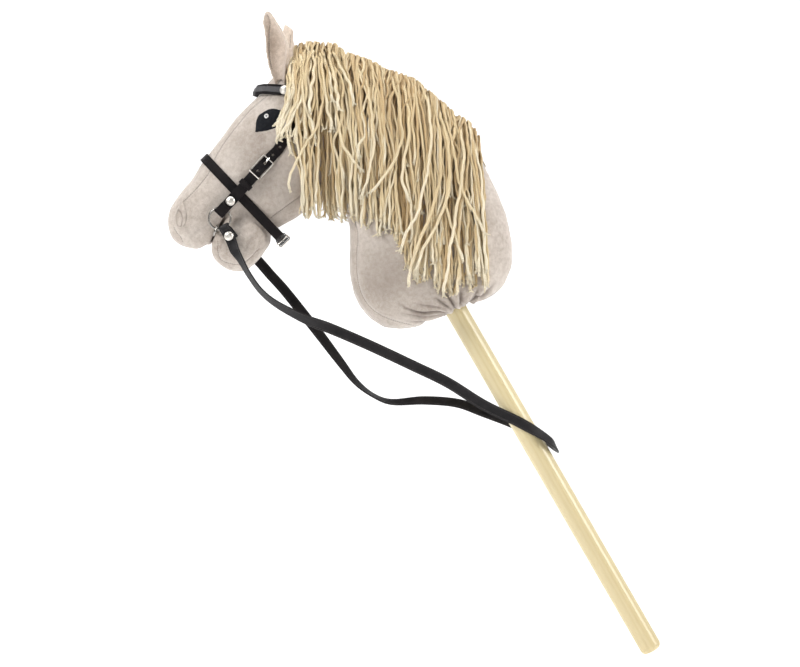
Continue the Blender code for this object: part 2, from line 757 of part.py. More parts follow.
def frame_shape(plane, heel):
    """The buckle's frame: a wire rectangle with round corners, tilted up towards its tip bar."""
    foot = plane.place(heel, 0, STRAP + FRAME_WIRE / 2 + GAP)
    along = plane.along * math.cos(FRAME_TILT) + plane.out * math.sin(FRAME_TILT)
    out = plane.across.cross(along) * -1
    corner = FRAME_WIRE * 0.9
    half = FRAME_WIDTH / 2 - corner
    path = []
    for along_at, across_at, start in (
        (FRAME_LENGTH - corner, half, 0),
        (corner, half, 90),
        (corner, -half, 180),
        (FRAME_LENGTH - corner, -half, 270),
    ):
        middle = foot + along * along_at + plane.across * across_at
        path += circle(
            middle, corner, along, plane.across, 4, math.radians(start), math.radians(90)
        )
    return wire(path, FRAME_WIRE / 2, 6, closed=True, across=out)


def bridge_shape(plane, heel):
    """The frame's second bar at the heel end: a bridge from side to side, which the billet runs under."""
    side = FRAME_WIDTH / 2
    corner = FRAME_WIRE * 0.9
    low = STRAP + FRAME_WIRE / 2 + GAP + corner * math.sin(FRAME_TILT)
    high = over_heel() + STRAP + 1.5 * GAP + FRAME_WIRE / 2
    path = [plane.place(heel + corner, side, low), plane.place(heel, side, (low + high) / 2)]
    for across, start in ((side - corner, 0), (corner - side, 90)):
        middle = plane.place(heel, across, high - corner)
        turn = math.radians(start)
        path += circle(middle, corner, plane.across, plane.out, 4, turn, math.radians(90))
    path += [plane.place(heel, -side, (low + high) / 2), plane.place(heel + corner, -side, low)]
    return wire(path, FRAME_WIRE / 2, 6, across=plane.along)


def prong_rows():
    """The prong's middle line (along, out) from its bar: round the bar, under the billet, up through its
    hole and down on the tip bar."""
    turn = FRAME_WIRE / 2 + GAP + PRONG_WIRE / 2
    rows = []
    for step in range(8):
        angle = math.radians(10 + 260 * step / 7)
        rows.append((turn * math.cos(angle), turn * math.sin(angle)))
    over = FRAME_LENGTH * math.sin(FRAME_TILT) + FRAME_WIRE / 2 + GAP + PRONG_WIRE / 2
    rows.append((PRONG_HOLE * 0.55, -turn))
    for along, share in PRONG_CLIMB:
        rows.append((PRONG_HOLE + along * MM, -turn + (over + turn) * share))
    rows.append((FRAME_LENGTH * math.cos(FRAME_TILT) + FRAME_WIRE, over + GAP / 3))
    return rows


def add_buckle(name, plane, heel, both_sides):
    """A buckle's frame, and its prong with its origin on the heel bar."""
    pivot = plane.place(heel, 0, STRAP + FRAME_WIRE / 2 + GAP)
    path = [pivot + plane.along * along + plane.out * out for along, out in prong_rows()]
    prong = wire(path, PRONG_WIRE / 2, 6, across=plane.across)
    bridge = bridge_shape(plane, heel)
    if both_sides:
        near, far = add_both_sides(name + "_frame", *frame_shape(plane, heel), "nickel")
        join(near, add_cutter("near_" + name + "_bridge", *bridge))
        join(far, add_cutter("far_" + name + "_bridge", mirrored(bridge[0]), bridge[1]))
        add_both_sides(name + "_prong", *prong, "nickel", pivot)
    else:
        frame = add_piece(name + "_frame", *frame_shape(plane, heel), "nickel")
        join(frame, add_cutter(name + "_bridge", *bridge))
        add_piece(name + "_prong", *prong, "nickel", pivot)


def slot_cutter(plane, heel):
    """Room in the chape for the prong's eye."""
    half = PRONG_WIRE / 2 + 1.5 * GAP
    back = -(FRAME_WIRE / 2 + PRONG_WIRE + 3 * GAP)
    corners = []
    for out in (-STRAP, STACK):
        for along, across in ((back, -half), (PRONG_SLOT, -half), (PRONG_SLOT, half), (back, half)):
            corners.append(plane.place(heel + along, across, out))
    faces = [(0, 1, 2, 3), (4, 5, 6, 7), (0, 1, 5, 4), (1, 2, 6, 5), (2, 3, 7, 6), (3, 0, 4, 7)]
    return corners, faces


def hole_cutters(plane, heel, count):
    """The billet's round holes, and the long one that the prong stands in."""
    cutters = []
    for number in range(count):
        along = heel + PRONG_HOLE + (number - 1) * HOLE_PITCH
        if number == 1:
            lean = plane.along * math.cos(PRONG_LEAN) + plane.out * math.sin(PRONG_LEAN)
            middle = plane.place(along + PRONG_THROUGH[0], 0, PRONG_THROUGH[1])
            side = plane.across
            ahead = side.cross(lean).normalized()
            points = []
            for end in (-0.75 * STACK, 0.75 * STACK):
                for step in range(12):
                    angle = 2 * math.pi * (step + 0.5) / 12
                    longer = math.copysign(LONG_HOLE / 2, math.cos(angle))
                    offset = ahead * (math.cos(angle) * HOLE_DIAMETER / 2 + longer)
                    offset += side * math.sin(angle) * HOLE_DIAMETER / 2
                    points.append(middle + offset + lean * end)
            faces = [tuple(range(12)), tuple(range(12, 24))] + ring_faces(2, 12)
            cutters.append((points, faces))
        else:
            profile = [(HOLE_DIAMETER / 2, -STRAP), (HOLE_DIAMETER / 2, STACK + STRAP)]
            cutters.append(turned(profile, 10, plane.place(along, 0, 0), plane.out))
    return cutters


def stud_shape(plane, along, layers):
    """A domed stud on top of the layers, with its shank through them."""
    top = layers * (STRAP + GAP)
    radius = STUD_DIAMETER / 2
    edge = top + STUD_EDGE
    profile = [
        (STUD_SHANK / 2, GAP), (STUD_SHANK / 2, top), (radius, top), (radius, edge),
        (radius * 0.8, edge + STUD_DOME * 0.55), (radius * 0.4, edge + STUD_DOME),
    ]
    return turned(profile, 14, plane.place(along, 0, 0), plane.out)


def stud_hole(plane, along):
    profile = [(STUD_SHANK / 2 + GAP, -STRAP), (STUD_SHANK / 2 + GAP, STACK)]
    return turned(profile, 14, plane.place(along, 0, 0), plane.out)


def keeper_shape(plane, middle, width):
    """A leather loop round the two layers of strap and the billet."""
    half = width / 2 + 1.5 * GAP
    low, high = -GAP, 3 * STRAP + 3 * GAP
    path, outward = [], []
    for across, out, start in ((half, high, 0), (-half, high, 90), (-half, low, 180), (half, low, 270)):
        centre_across = across - math.copysign(KEEPER_ROUND, across)
        centre_out = out - KEEPER_ROUND if out == high else out + KEEPER_ROUND
        for turn in (0, 90):
            angle = math.radians(start + turn)
            way = plane.across * math.cos(angle) + plane.out * math.sin(angle)
            path.append(plane.place(middle, centre_across, centre_out) + way * KEEPER_ROUND)
            outward.append(way)
    return strap(path, outward, [KEEPER_LENGTH] * len(path), KEEPER_LEATHER, closed=True)


def add_noseband(trees):
    """A strap round the nose and jaw, in one plane, with its buckle below. Returns its tree."""
    top, foot = at(*NOSEBAND_TOP), at(*NOSEBAND_FOOT)
    down = (foot - top).normalized()
    middle = (top + foot) / 2
    below = (foot - middle).length - NOSEBAND_STACK
    plane = plane_at(middle + down * below, Vector((0, -1, 0)), down)
    corner = math.atan2(NOSEBAND_CORNER, below)
    angles = np.linspace(-math.pi + corner, math.pi - corner, NOSEBAND_STEPS)
    outward = [Vector((0, math.sin(angle), 0)) - down * math.cos(angle) for angle in angles]
    feet = [middle] * len(outward)
    across = [down.cross(Vector((0, 1, 0)))] * len(outward)
    ends = (
        math.hypot(NOSEBAND_CORNER, below),
        math.hypot(NOSEBAND_CORNER, below + STRAP + GAP),
    )
    path = lie_over(trees, feet, outward, across, NOSE_WIDTH, ends)
    heel = -NOSEBAND_HEEL
    near_rows = billet(heel)
    far_rows = chape(heel, NOSEBAND_BACK)
    far_places, far_ways = laid_out(plane, far_rows)
    near_places, near_ways = laid_out(plane, near_rows)
    places = near_places + path + list(reversed(far_places))
    ways = near_ways + outward + list(reversed(far_ways))
    widths = [NOSE_WIDTH] * len(places)
    widths[0] = NOSE_WIDTH * BILLET_TIP
    shape = strap(places, ways, widths, STRAP)
    noseband = add_piece("noseband", *shape, "leather", sharp=math.radians(50))
    cut(noseband, add_cutter("noseband_slot", *slot_cutter(plane, heel)))
    for number, hole in enumerate(hole_cutters(plane, heel, 3)):
        cut(noseband, add_cutter(f"noseband_hole_{number}", *hole))
    add_buckle("noseband_buckle", plane, heel, False)
    keeper = keeper_shape(plane, heel - NOSEBAND_KEEPER, NOSE_WIDTH)
    add_piece("noseband_keeper", *keeper, "leather")
    return tree_of(*shape)


def add_both_sides(name, points, faces, look, origin=None):
    """The near piece and its mirror image on the far side."""
    origin = origin or Vector((0, 0, 0))
    near = add_piece("near_" + name, points, faces, look, origin)
    far_origin = Vector((origin.x, -origin.y, origin.z))
    far = add_piece("far_" + name, mirrored(points), faces, look, far_origin)
    return near, far


def cut_both_sides(pieces, name, points, faces):
    near, far = pieces
    cut(near, add_cutter("near_" + name, points, faces))
    cut(far, add_cutter("far_" + name, mirrored(points), faces))


def foot_of(point):
    """The nearest point on the line inside the head that the crownpiece is wrapped round."""
    low, high = HEAD_AXIS
    along = (high - low).normalized()
    reach = min(max((point - low).dot(along), 0), (high - low).length)
    return low + along * reach


def matched(path):
    """The path with its far half made the mirror image of its near half."""
    near = path[: (len(path) + 1) // 2]
    return near + list(reversed(mirrored(near[: len(path) // 2])))


def add_cheekpieces(plane):
    """The folded straps between ring and buckle, with their studs, buckles and keepers."""
    pinch = CHEEK_FOLD_OPEN + CHEEK_PINCH
    ring_end = fold(CHEEK_FOLD_END, CHEEK_FOLD_OPEN, pinch, RING_FOLD, -1)
    heel_end = chape(CHEEK_HEEL, CHEEK_HEEL - CHEEK_JOIN - CHEEK_JOIN_GAP)
    rows = [(CHEEK_JOIN, STRAP, 0, -1)] + ring_end + list(reversed(heel_end))
    places, ways = laid_out(plane, rows)
    shape = strap(places, ways, [STRAP_WIDTH] * len(rows), STRAP)
    pieces = add_both_sides("cheekpiece", *shape, "leather")
    cut_both_sides(pieces, "chape_slot", *slot_cutter(plane, CHEEK_HEEL))
    cut_both_sides(pieces, "cheek_stud_hole", *stud_hole(plane, CHEEK_STUD))
    add_both_sides("cheek_stud", *stud_shape(plane, CHEEK_STUD, 2), "nickel")
    add_buckle("cheek_buckle", plane, CHEEK_HEEL, True)
    keeper = keeper_shape(plane, CHEEK_KEEPER, STRAP_WIDTH)
    add_both_sides("cheek_keeper", *keeper, "leather", plane.place(CHEEK_KEEPER, 0, 0))
    return tree_of(*shape)


def add_crownpiece(plane, trees):
    """One strap from billet to billet, over the poll behind the ears. Returns its tree."""
    near_rows = billet(CHEEK_HEEL) + [(CHEEK_HEEL + CROWN_START, GAP / 3, 0, 1)]
    near_places, near_ways = laid_out(plane, near_rows)
    joint = near_places[-1]
    guide = [joint] + [Vector(point) * MM for point in CROWN_GUIDE]
    guide += [Vector((x, -y, z)) * MM for x, y, z in reversed(CROWN_GUIDE[:-1])]
    guide.append(Vector((joint.x, -joint.y, joint.z)))
    path = [Vector(row) for row in even_steps([tuple(point) for point in guide], CROWN_STEP)]
    feet = [foot_of(point) for point in path]
    outward = [(point - foot).normalized() for point, foot in zip(path, feet)]
    across = sides_of(path, outward)
    reach = (joint - foot_of(joint)).length
    path = matched(lie_over(trees, feet, outward, across, STRAP_WIDTH, (reach, reach)))
    places = near_places[:-1] + path + list(reversed(mirrored(near_places[:-1])))
    ways = near_ways[:-1] + outward + list(reversed(mirrored(near_ways[:-1])))
    widths = [STRAP_WIDTH] * len(places)
    widths[0] = widths[-1] = STRAP_WIDTH * BILLET_TIP
    widths[1] = widths[-2] = STRAP_WIDTH
    shape = strap(places, ways, widths, STRAP)
    crownpiece = add_piece("crownpiece", *shape, "leather", sharp=math.radians(50))
    for number, (points, faces) in enumerate(hole_cutters(plane, CHEEK_HEEL, 4)):
        cut(crownpiece, add_cutter(f"near_billet_hole_{number}", points, faces))
        cut(crownpiece, add_cutter(f"far_billet_hole_{number}", mirrored(points), faces))
    return tree_of(*shape)


def add_browband(trees):
    """A strap round the forehead, from one crown strap to the other, with a stud near each end."""
    middle = at(*BROWBAND_MIDDLE)
    behind = (BROWBAND_END - BROWBAND_MIDDLE[0]) * MM
    last = math.pi / 2 + math.atan2(behind, HEAD_HALF_AT_BROW)
    angles = np.linspace(-last, last, BROWBAND_STEPS)
    outward = [Vector((-math.cos(angle), math.sin(angle), 0)) for angle in angles]
    feet = [middle] * len(outward)
    up = Vector((0, 0, 1))
    leans = [BROWBAND_LEAN * math.cos(angle) ** 2 for angle in angles]
    across = [up * math.cos(lean) - out * math.sin(lean) for lean, out in zip(leans, outward)]
    path = matched(lie_over(trees, feet, outward, across, STRAP_WIDTH))
    faced = [out * math.cos(lean) + up * math.sin(lean) for lean, out in zip(leans, outward)]
    shape = strap(path, faced, [STRAP_WIDTH] * len(path), STRAP)
    browband = add_piece("browband", *shape, "leather", sharp=math.radians(50))
    nearest = min(range(len(path)), key=lambda index: abs(path[index].x - BROWBAND_STUD * MM))
    if path[nearest].y > 0:
        nearest = len(path) - 1 - nearest
    plane = plane_at(path[nearest], path[nearest + 1] - path[nearest - 1], outward[nearest])
    hole = stud_hole(plane, 0)
    cut(browband, add_cutter("near_brow_hole", *hole))
    cut(browband, add_cutter("far_brow_hole", mirrored(hole[0]), hole[1]))
    add_both_sides("browband_stud", *stud_shape(plane, 0, 1), "nickel")
    return tree_of(*shape)


def add_rings(plane):
    """The two loose rings, each with its origin at its middle."""
    along, across = plane.local(*RING_MIDDLE)
    out = STRAP + RING_FOLD
    middle = plane.place(along, across, out)
    radius = (RING_DIAMETER - RING_WIRE) / 2
    path = circle(middle, radius, plane.along, plane.across, 28)
    ring = wire(path, RING_WIRE / 2, 6, closed=True, across=plane.out)
    add_both_sides("bit_ring", *ring, "nickel", middle)
    return middle


def mouthpiece_eye(plane, ring_middle):
    """The near end eye: a small ring round the bit ring's wire, in the plane that holds the bar."""
    bar = at(*MOUTH_BAR)
    away = Vector((bar.x - ring_middle.x, 0, bar.z - ring_middle.z)).normalized()
    middle = Vector((bar.x, ring_middle.y + EYE_INSET, bar.z))
    radius = (EYE_DIAMETER - RING_WIRE) / 2
    path = circle(middle, radius, away, Vector((0, 1, 0)), 18)
    side = away.cross(Vector((0, 1, 0)))
    return middle, wire(path, RING_WIRE / 2, 6, closed=True, across=side)


def add_mouthpiece(plane, ring_middle):
    middle, eye = mouthpiece_eye(plane, ring_middle)
    end = -middle.y - (EYE_DIAMETER - RING_WIRE) / 2 + RING_WIRE / 10
    foot = Vector((middle.x, -end, middle.z))
    neck = BAR_DIAMETER * 0.36
    profile = [
        (neck, 0), (neck * 1.1, BAR_TAPER / 3), (BAR_DIAMETER / 2, BAR_TAPER), (BAR_DIAMETER / 2, end),
    ]
    profile += [(radius, 2 * end - height) for radius, height in reversed(profile[:-1])]
    bar = add_piece("bit_mouthpiece", *turned(profile, 14, foot, Vector((0, 1, 0))), "nickel")
    for name, points in (("near_eye_ring", eye[0]), ("far_eye_ring", mirrored(eye[0]))):
        join(bar, add_cutter(name, points, eye[1]))
    return bar


def mouth_cutter():
    profile = [(BAR_DIAMETER / 2 + GAP, side * FAR_OFF) for side in (-1, 1)]
    return add_cutter("mouth_room", *turned(profile, 16, at(*MOUTH_BAR), Vector((0, 1, 0))))


def add_reins(plane):
    """One flat strap from the near ring, round the stick, to the far ring, with a fold and stud at each."""
    start, stud = plane.local(*REIN_FOLD), plane.local(*REIN_STUD)
    end_plane = plane.turned_to(*start, *stud)
    rows = fold(REIN_FOLD_END, REIN_FOLD_OPEN, REIN_FOLD_OPEN + REIN_PINCH, RING_FOLD, -1)
    rows = [(REIN_TAB - REIN_TAB_STEP, STRAP, 0, -1)] + rows + [(REIN_TAB, STRAP + GAP, 0, 1)]
    places, ways = laid_out(end_plane, rows)
    route = smooth(REIN_ROUTE, REIN_STEPS)
    centres = [Vector(row[:3]) * MM for row in route]
    free_places, free_ways = [], []
    for index, centre in enumerate(centres):
        after = centres[min(index + 1, len(centres) - 1)]
        before = centres[max(index - 1, 0)]
        forward = (after - before).normalized()
        stick_side = centre - UP_STICK * centre.dot(UP_STICK)
        level = Vector((0, math.copysign(1, centre.y), 0))
        out = stick_side.normalized() if centre.x > REIN_TURN_X else level
        out = (out - forward * out.dot(forward)).normalized()
        twist = Matrix.Rotation(math.radians(route[index][3]), 3, forward)
        out = twist @ out
        free_places.append(centre - out * STRAP / 2)
        free_ways.append(out)
    places = places + free_places + list(reversed(mirrored(places)))
    ways = ways + free_ways + list(reversed(mirrored(ways)))
    reins = add_piece("reins", *strap(places, ways, [REIN_WIDTH] * len(places), STRAP), "leather")
    along = (Vector(end_plane.local(*REIN_STUD)) - Vector(end_plane.local(*REIN_FOLD))).length
    hole = stud_hole(end_plane, along)
    cut(reins, add_cutter("near_rein_hole", *hole))
    cut(reins, add_cutter("far_rein_hole", mirrored(hole[0]), hole[1]))
    add_both_sides("rein_stud", *stud_shape(end_plane, along, 2), "nickel")


# The ears, eyes, nostrils and mane


def add_ears(head_cutter):
    near_path = [(x, y, z) for x, y, z, _ in EAR_ROWS]
    radii = [row[3] for row in EAR_ROWS]
    root = EAR_ROWS[0][2]
    near = add_piece("near_ear", *ear(near_path, radii, NEAR_EAR_YAW), "velour", sharp=math.radians(70))
    points, faces = ear(near_path, radii, FAR_EAR_YAW)
    leaned = []
    for point in mirrored(points):
        rise = point.z - root * MM
        leaned.append(point + Vector((rise * FAR_EAR_LEAN, 0, rise * (FAR_EAR_HEIGHT - 1))))
    far = add_piece("far_ear", leaned, faces, "velour", sharp=math.radians(70))
    cut(near, head_cutter)
    cut(far, head_cutter)


def add_eyes_and_nostrils(head_tree):
    eye = skin_patch(EYE_OUTLINE, [head_tree], EYE_FELT, EYE_MIDDLE)
    add_both_sides("eye", *eye, "felt")
    nostril = skin_patch(NOSTRIL_OUTLINE, [head_tree], NOSTRIL_PAD, NOSTRIL_MIDDLE)
    add_both_sides("nostril", *nostril, "velour")
    return tree_of(*eye)


def top_skin(trees, x, y):
    """The top of the skin at (x, y)."""
    hits = [tree.ray_cast(Vector((x, y, 1)), Vector((0, 0, -1)), 1)[0] for tree in trees]
    return max((hit.z for hit in hits if hit is not None), default=0.0)


def add_mane_tape(trees):
    """The woven tape along the crest that the yarn is sewn to. Returns its tree."""
    feet, ways = [], []
    for x in np.linspace(TAPE_FRONT, MANE_BACK + TAPE_BEYOND, TAPE_STEPS):
        step = TAPE_WIDTH / 2
        rise = top_skin(trees, x + step, 0) - top_skin(trees, x - step, 0)
        way = Vector((-rise, 0, 2 * step)).normalized()
        feet.append(Vector((x, 0, top_skin(trees, x, 0))) - way * CREST)
        ways.append(way)
    across = [Vector((0, 1, 0))] * len(feet)
    path = lie_over(trees, feet, ways, across, TAPE_WIDTH)
    shape = strap(path, ways, [TAPE_WIDTH] * len(path), TAPE)
    add_piece("mane_tape", *shape, "tape")
    return tree_of(*shape)


def mane_rays(root, low, trees):
    """For one column of the mane: where each of its rays starts, which way it looks and how thick the
    yarn is there. The rays turn over the crest and then go straight down the near side."""
    top = top_skin(trees, root, 0)
    low_x, low_z = low
    drops = [(top - CREST - low_z) * (step + 1) / MANE_DROPS for step in range(MANE_DROPS)]
    over_crest = CREST * (MANE_TURNS[-1] - MANE_TURNS[0])
    total = over_crest + drops[-1]
    rays = []
    for turn in MANE_TURNS:
        share = CREST * (turn - MANE_TURNS[0]) / total
        foot = Vector((root + (low_x - root) * share, 0, top - CREST))
        thick = MANE_AT_ROOTS + (1 - MANE_AT_ROOTS) * share
        rays.append((foot, Vector((0, -math.sin(turn), math.cos(turn))), thick))
    for drop in drops:
        share = (over_crest + drop) / total
        foot = Vector((root + (low_x - root) * share, 0, top - CREST - drop))
        rays.append((foot, Vector((0, -1, 0)), 1 - MANE_TAPER * share**3))
    return rays


def add_mane(trees):
    """The yarn as one thick hanging sheet: over the crest and down the near side."""
    lower = smooth(MANE_LOWER_EDGE, MANE_COLUMNS) * MM
    beside = (MANE_BACK - MANE_FRONT) / (MANE_COLUMNS - 1)
    points = []
    for column in range(MANE_COLUMNS):
        rays = mane_rays(MANE_FRONT + beside * column, lower[column], trees)
        inner, outer = [], []
        hang = 0.0
        for index, (foot, out, thick) in enumerate(rays):
            neighbours = [rays[max(index - 1, 0)], rays[index], rays[min(index + 1, len(rays) - 1)]]
            reach = 0.0
            for other_foot, other_out, _ in neighbours:
                middle = (foot + other_foot) / 2
                way = (out + other_out).normalized()
                for share in (-0.7, -0.35, 0, 0.35, 0.7):
                    side = Vector((beside * share, 0, 0))
                    reach = max(reach, reach_of(trees, middle + side, way))
            if out.z < 0.01:
                hang = max(hang, reach)
                reach = hang
            inner.append(foot + out * (reach + MANE_GAP))
            outer.append(foot + out * (reach + MANE_GAP + MANE_DEPTH * thick))
        points += inner + list(reversed(outer))
    ring = 2 * len(rays)
    faces = ring_faces(MANE_COLUMNS, ring)
    for start in (0, (MANE_COLUMNS - 1) * ring):
        for index in range(ring // 2 - 1):
            faces.append(
                (start + index, start + index + 1, start + ring - 2 - index, start + ring - 1 - index)
            )
    add_piece("mane", points, faces, "yarn", sharp=math.radians(60))


def add_forelock(trees):
    """The lock of yarn that falls between the ear and the mane, over the end of the eye."""
    rows = smooth(FORELOCK_ROWS, FORELOCK_STEPS) * MM
    path, ways, widths = [], [], []
    hang = 0.0
    for index, (x, z, width) in enumerate(rows):
        below = rows[min(index + 1, len(rows) - 1)]
        for share in (-0.6, -0.3, 0, 0.3, 0.6):
            for height in (z, (z + below[1]) / 2, below[1]):
                hang = max(hang, near_skin(trees, x + width * share, height))
        path.append(Vector((x, -hang - MANE_GAP, z)))
        ways.append(Vector((0, -1, 0)))
        widths.append(width)
    add_piece("forelock", *strap(path, ways, widths, FORELOCK_DEPTH), "yarn")


def add_gather_cord():
    radius = STICK_DIAMETER / 2 + 1.5 * GAP + GATHER_CORD / 2
    middle = UP_STICK * (STICK_SHOWN + VELOUR + 1.5 * GAP + GATHER_CORD / 2)
    first = Vector((math.cos(STICK_LEAN), 0, math.sin(STICK_LEAN)))
    path = circle(middle, radius, first, Vector((0, 1, 0)), 24)
    ring = wire(path, GATHER_CORD / 2, 6, closed=True, across=UP_STICK)
    add_piece("gathering_cord", *ring, "cord")


def main():
    clear_scene()
    length = stick_length()
    add_stick(length)
    stick_room = stick_cutter(length)
    mouth_room = mouth_cutter()
    gather_room = gather_cutter()
    head_room = add_cutter("head_room", *form_skin(HEAD_SECTIONS, HEAD_PINCH, GAP))
    form = (FORM_RINGS, FORM_SIDES)
    head = add_stuffed("head", HEAD_SECTIONS, *form, HEAD_PINCH, [stick_room, mouth_room])
    neck_rooms = [head_room, stick_room, gather_room]
    neck = add_stuffed("neck", neck_sections(), *form, NECK_PINCH, neck_rooms)
    jaw = add_stuffed("jaw", JAW_SECTIONS, JAW_RINGS, JAW_SIDES, 0.0, [head_room, mouth_room])
    add_gather_cord()
    eye = add_eyes_and_nostrils(head)
    add_ears(head_room)
    noseband = add_noseband([head, jaw])
    plane = StrapPlane([head, jaw, noseband])
    cheekpiece = add_cheekpieces(plane)
    crownpiece = add_crownpiece(plane, [head, neck])
    browband = add_browband([head, crownpiece])
    add_mouthpiece(plane, add_rings(plane))
    add_reins(plane)
    tape = add_mane_tape([head, neck])
    skins = [head, neck, jaw, crownpiece, browband, cheekpiece, noseband, tape, eye]
    add_mane(skins)
    add_forelock(skins)


main()
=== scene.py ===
import json
import math
import random

import bpy
import numpy as np
from mathutils import Matrix, Vector
from mathutils.bvhtree import BVHTree

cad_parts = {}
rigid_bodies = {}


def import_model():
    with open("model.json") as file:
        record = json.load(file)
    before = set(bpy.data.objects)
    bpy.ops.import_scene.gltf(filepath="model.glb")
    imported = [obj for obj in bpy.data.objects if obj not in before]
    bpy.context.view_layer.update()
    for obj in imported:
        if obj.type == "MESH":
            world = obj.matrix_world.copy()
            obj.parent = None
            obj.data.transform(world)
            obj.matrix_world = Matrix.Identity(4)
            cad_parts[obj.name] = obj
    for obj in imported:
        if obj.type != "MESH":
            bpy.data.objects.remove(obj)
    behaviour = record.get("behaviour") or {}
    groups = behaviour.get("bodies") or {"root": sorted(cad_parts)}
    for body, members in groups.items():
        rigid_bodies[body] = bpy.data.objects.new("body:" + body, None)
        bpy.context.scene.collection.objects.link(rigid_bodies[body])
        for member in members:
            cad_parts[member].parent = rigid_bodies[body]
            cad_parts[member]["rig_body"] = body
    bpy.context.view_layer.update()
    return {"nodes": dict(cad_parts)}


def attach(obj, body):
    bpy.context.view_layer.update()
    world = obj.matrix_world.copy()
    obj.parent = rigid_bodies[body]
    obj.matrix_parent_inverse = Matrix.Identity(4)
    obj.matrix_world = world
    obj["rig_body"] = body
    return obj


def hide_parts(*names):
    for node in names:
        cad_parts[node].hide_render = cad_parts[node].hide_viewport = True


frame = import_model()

MM = 0.001
nodes = frame["nodes"]

STICK_LEAN = math.radians(30)
UP_STICK = Vector((-math.sin(STICK_LEAN), 0, math.cos(STICK_LEAN)))
# The photograph's middle pixel, and the place in millimetres that it shows at the stick's depth. The camera
# stands this far in front of it. The stick, which is 25 mm thick, is 22 pixels wide.
MIDDLE_X, MIDDLE_Y = 400, 333.5
VIEW_X, VIEW_Z = -287.27, 360.57
VIEW_AWAY = 3000
PIXEL = 25 / 22
MANE_PIXEL = 1.125  # the size of a pixel at the mane
LENS = 118.8


def placed(name, data):
    """A new object with this data, in the scene."""
    made = bpy.data.objects.new(name, data)
    bpy.context.scene.collection.objects.link(made)
    return made


# The camera, where the photographer stood

camera = placed("camera", bpy.data.cameras.new("camera"))
camera.location = (VIEW_X * MM, -VIEW_AWAY * MM, VIEW_Z * MM)
camera.rotation_euler = (math.radians(90), 0, 0)
camera.data.lens = LENS
camera.data.sensor_fit = "HORIZONTAL"
bpy.context.scene.camera = camera


def photo(x, y, depth=-45.0):
    """The place, in millimetres (x, z), of a pixel of the photograph, on a plane this far in y."""
    scale = PIXEL * (VIEW_AWAY + depth) / VIEW_AWAY
    return VIEW_X + (x - MIDDLE_X) * scale, VIEW_Z + (MIDDLE_Y - y) * scale


def spot(x, y, depth=-45.0):
    """The same in metres."""
    return [value * MM for value in photo(x, y, depth)]


# Materials. The base colours are linear.

SEAM_REACH = 0.0009  # how far a seam's line reaches to each side
# The reins' sewing: how far from the middle it runs, how far its crease reaches, and its stitches' pitch
REIN_SEWING, REIN_CREASE, REIN_PITCH = 0.0043, 0.0005, 0.0036


def new_material(name, **settings):
    """A material and its node tree. The settings are inputs of its shader, with _ for a space."""
    material = bpy.data.materials.new(name)
    material.use_nodes = True
    tree = material.node_tree
    for socket, value in settings.items():
        tree.nodes["Principled BSDF"].inputs[socket.replace("_", " ")].default_value = value
    return material, tree


def node(tree, kind, **settings):
    made = tree.nodes.new(kind)
    for name, value in settings.items():
        if hasattr(made, name):
            setattr(made, name, value)
        else:
            made.inputs[name.replace("_", " ")].default_value = value
    return made


def link(tree, start, end):
    tree.links.new(start, end)


def object_place(tree, turn=(0, 0, 0), length=(1, 1, 1)):
    """The place on the piece, along axes that are turned, and drawn out to these lengths."""
    place = node(tree, "ShaderNodeTexCoord")
    mapping = node(tree, "ShaderNodeMapping", vector_type="TEXTURE")
    mapping.inputs["Rotation"].default_value = turn
    mapping.inputs["Scale"].default_value = length
    link(tree, place.outputs["Object"], mapping.inputs["Vector"])
    return mapping.outputs["Vector"]


def noise(tree, place, scale, detail=3.0, roughness=0.55):
    made = node(tree, "ShaderNodeTexNoise", Scale=scale, Detail=detail, Roughness=roughness)
    link(tree, place, made.inputs["Vector"])
    return made.outputs["Fac"]


def ramp(tree, value, *stops):
    """Colours by value: each stop is (place, colour)."""
    made = node(tree, "ShaderNodeValToRGB")
    elements = made.color_ramp.elements
    for index, (place, colour) in enumerate(stops):
        element = elements[index] if index < 2 else elements.new(place)
        element.position = place
        element.color = (*colour, 1)
    link(tree, value, made.inputs["Fac"])
    return made.outputs["Color"]


def maths(tree, operation, first, second=None, third=None, clamp=False):
    made = node(tree, "ShaderNodeMath", operation=operation, use_clamp=clamp)
    for index, value in enumerate((first, second, third)):
        if value is None:
            continue
        if isinstance(value, (int, float)):
            made.inputs[index].default_value = value
        else:
            link(tree, value, made.inputs[index])
    return made.outputs[0]


def blended(tree, share, first, second, way="MIX"):
    made = node(tree, "ShaderNodeMix", data_type="RGBA", blend_type=way)
    for socket, value in ((made.inputs[0], share), (made.inputs[6], first), (made.inputs[7], second)):
        if isinstance(value, tuple):
            socket.default_value = (*value, 1)
        elif isinstance(value, (int, float)):
            socket.default_value = value
        else:
            link(tree, value, socket)
    return made.outputs[2]


def painted(material, colour, *layers, roughness=None):
    """Gives a material its colour, its bumps, each (height, depth in metres), and its roughness."""
    tree = material.node_tree
    inputs = tree.nodes["Principled BSDF"].inputs
    link(tree, colour, inputs["Base Color"])
    if roughness is not None:
        link(tree, roughness, inputs["Roughness"])
    last = None
    for height, depth in layers:
        made = node(tree, "ShaderNodeBump", Strength=1.0, Distance=depth)
        link(tree, height, made.inputs["Height"])
        if last is not None:
            link(tree, last, made.inputs["Normal"])
        last = made.outputs["Normal"]
    link(tree, last, inputs["Normal"])
    return material


def attribute(tree, name, output="Fac"):
    made = node(tree, "ShaderNodeAttribute", attribute_name=name)
    return made.outputs[output]


def parts_of(tree, vector):
    """The outputs for the three parts of a vector."""
    made = node(tree, "ShaderNodeSeparateXYZ")
    link(tree, vector, made.inputs[0])
    return made.outputs[:]


def uv_of(tree):
    return node(tree, "ShaderNodeUVMap", uv_map="UVMap").outputs[0]


def product(tree, first, second):
    return maths(tree, "MULTIPLY", first, second)


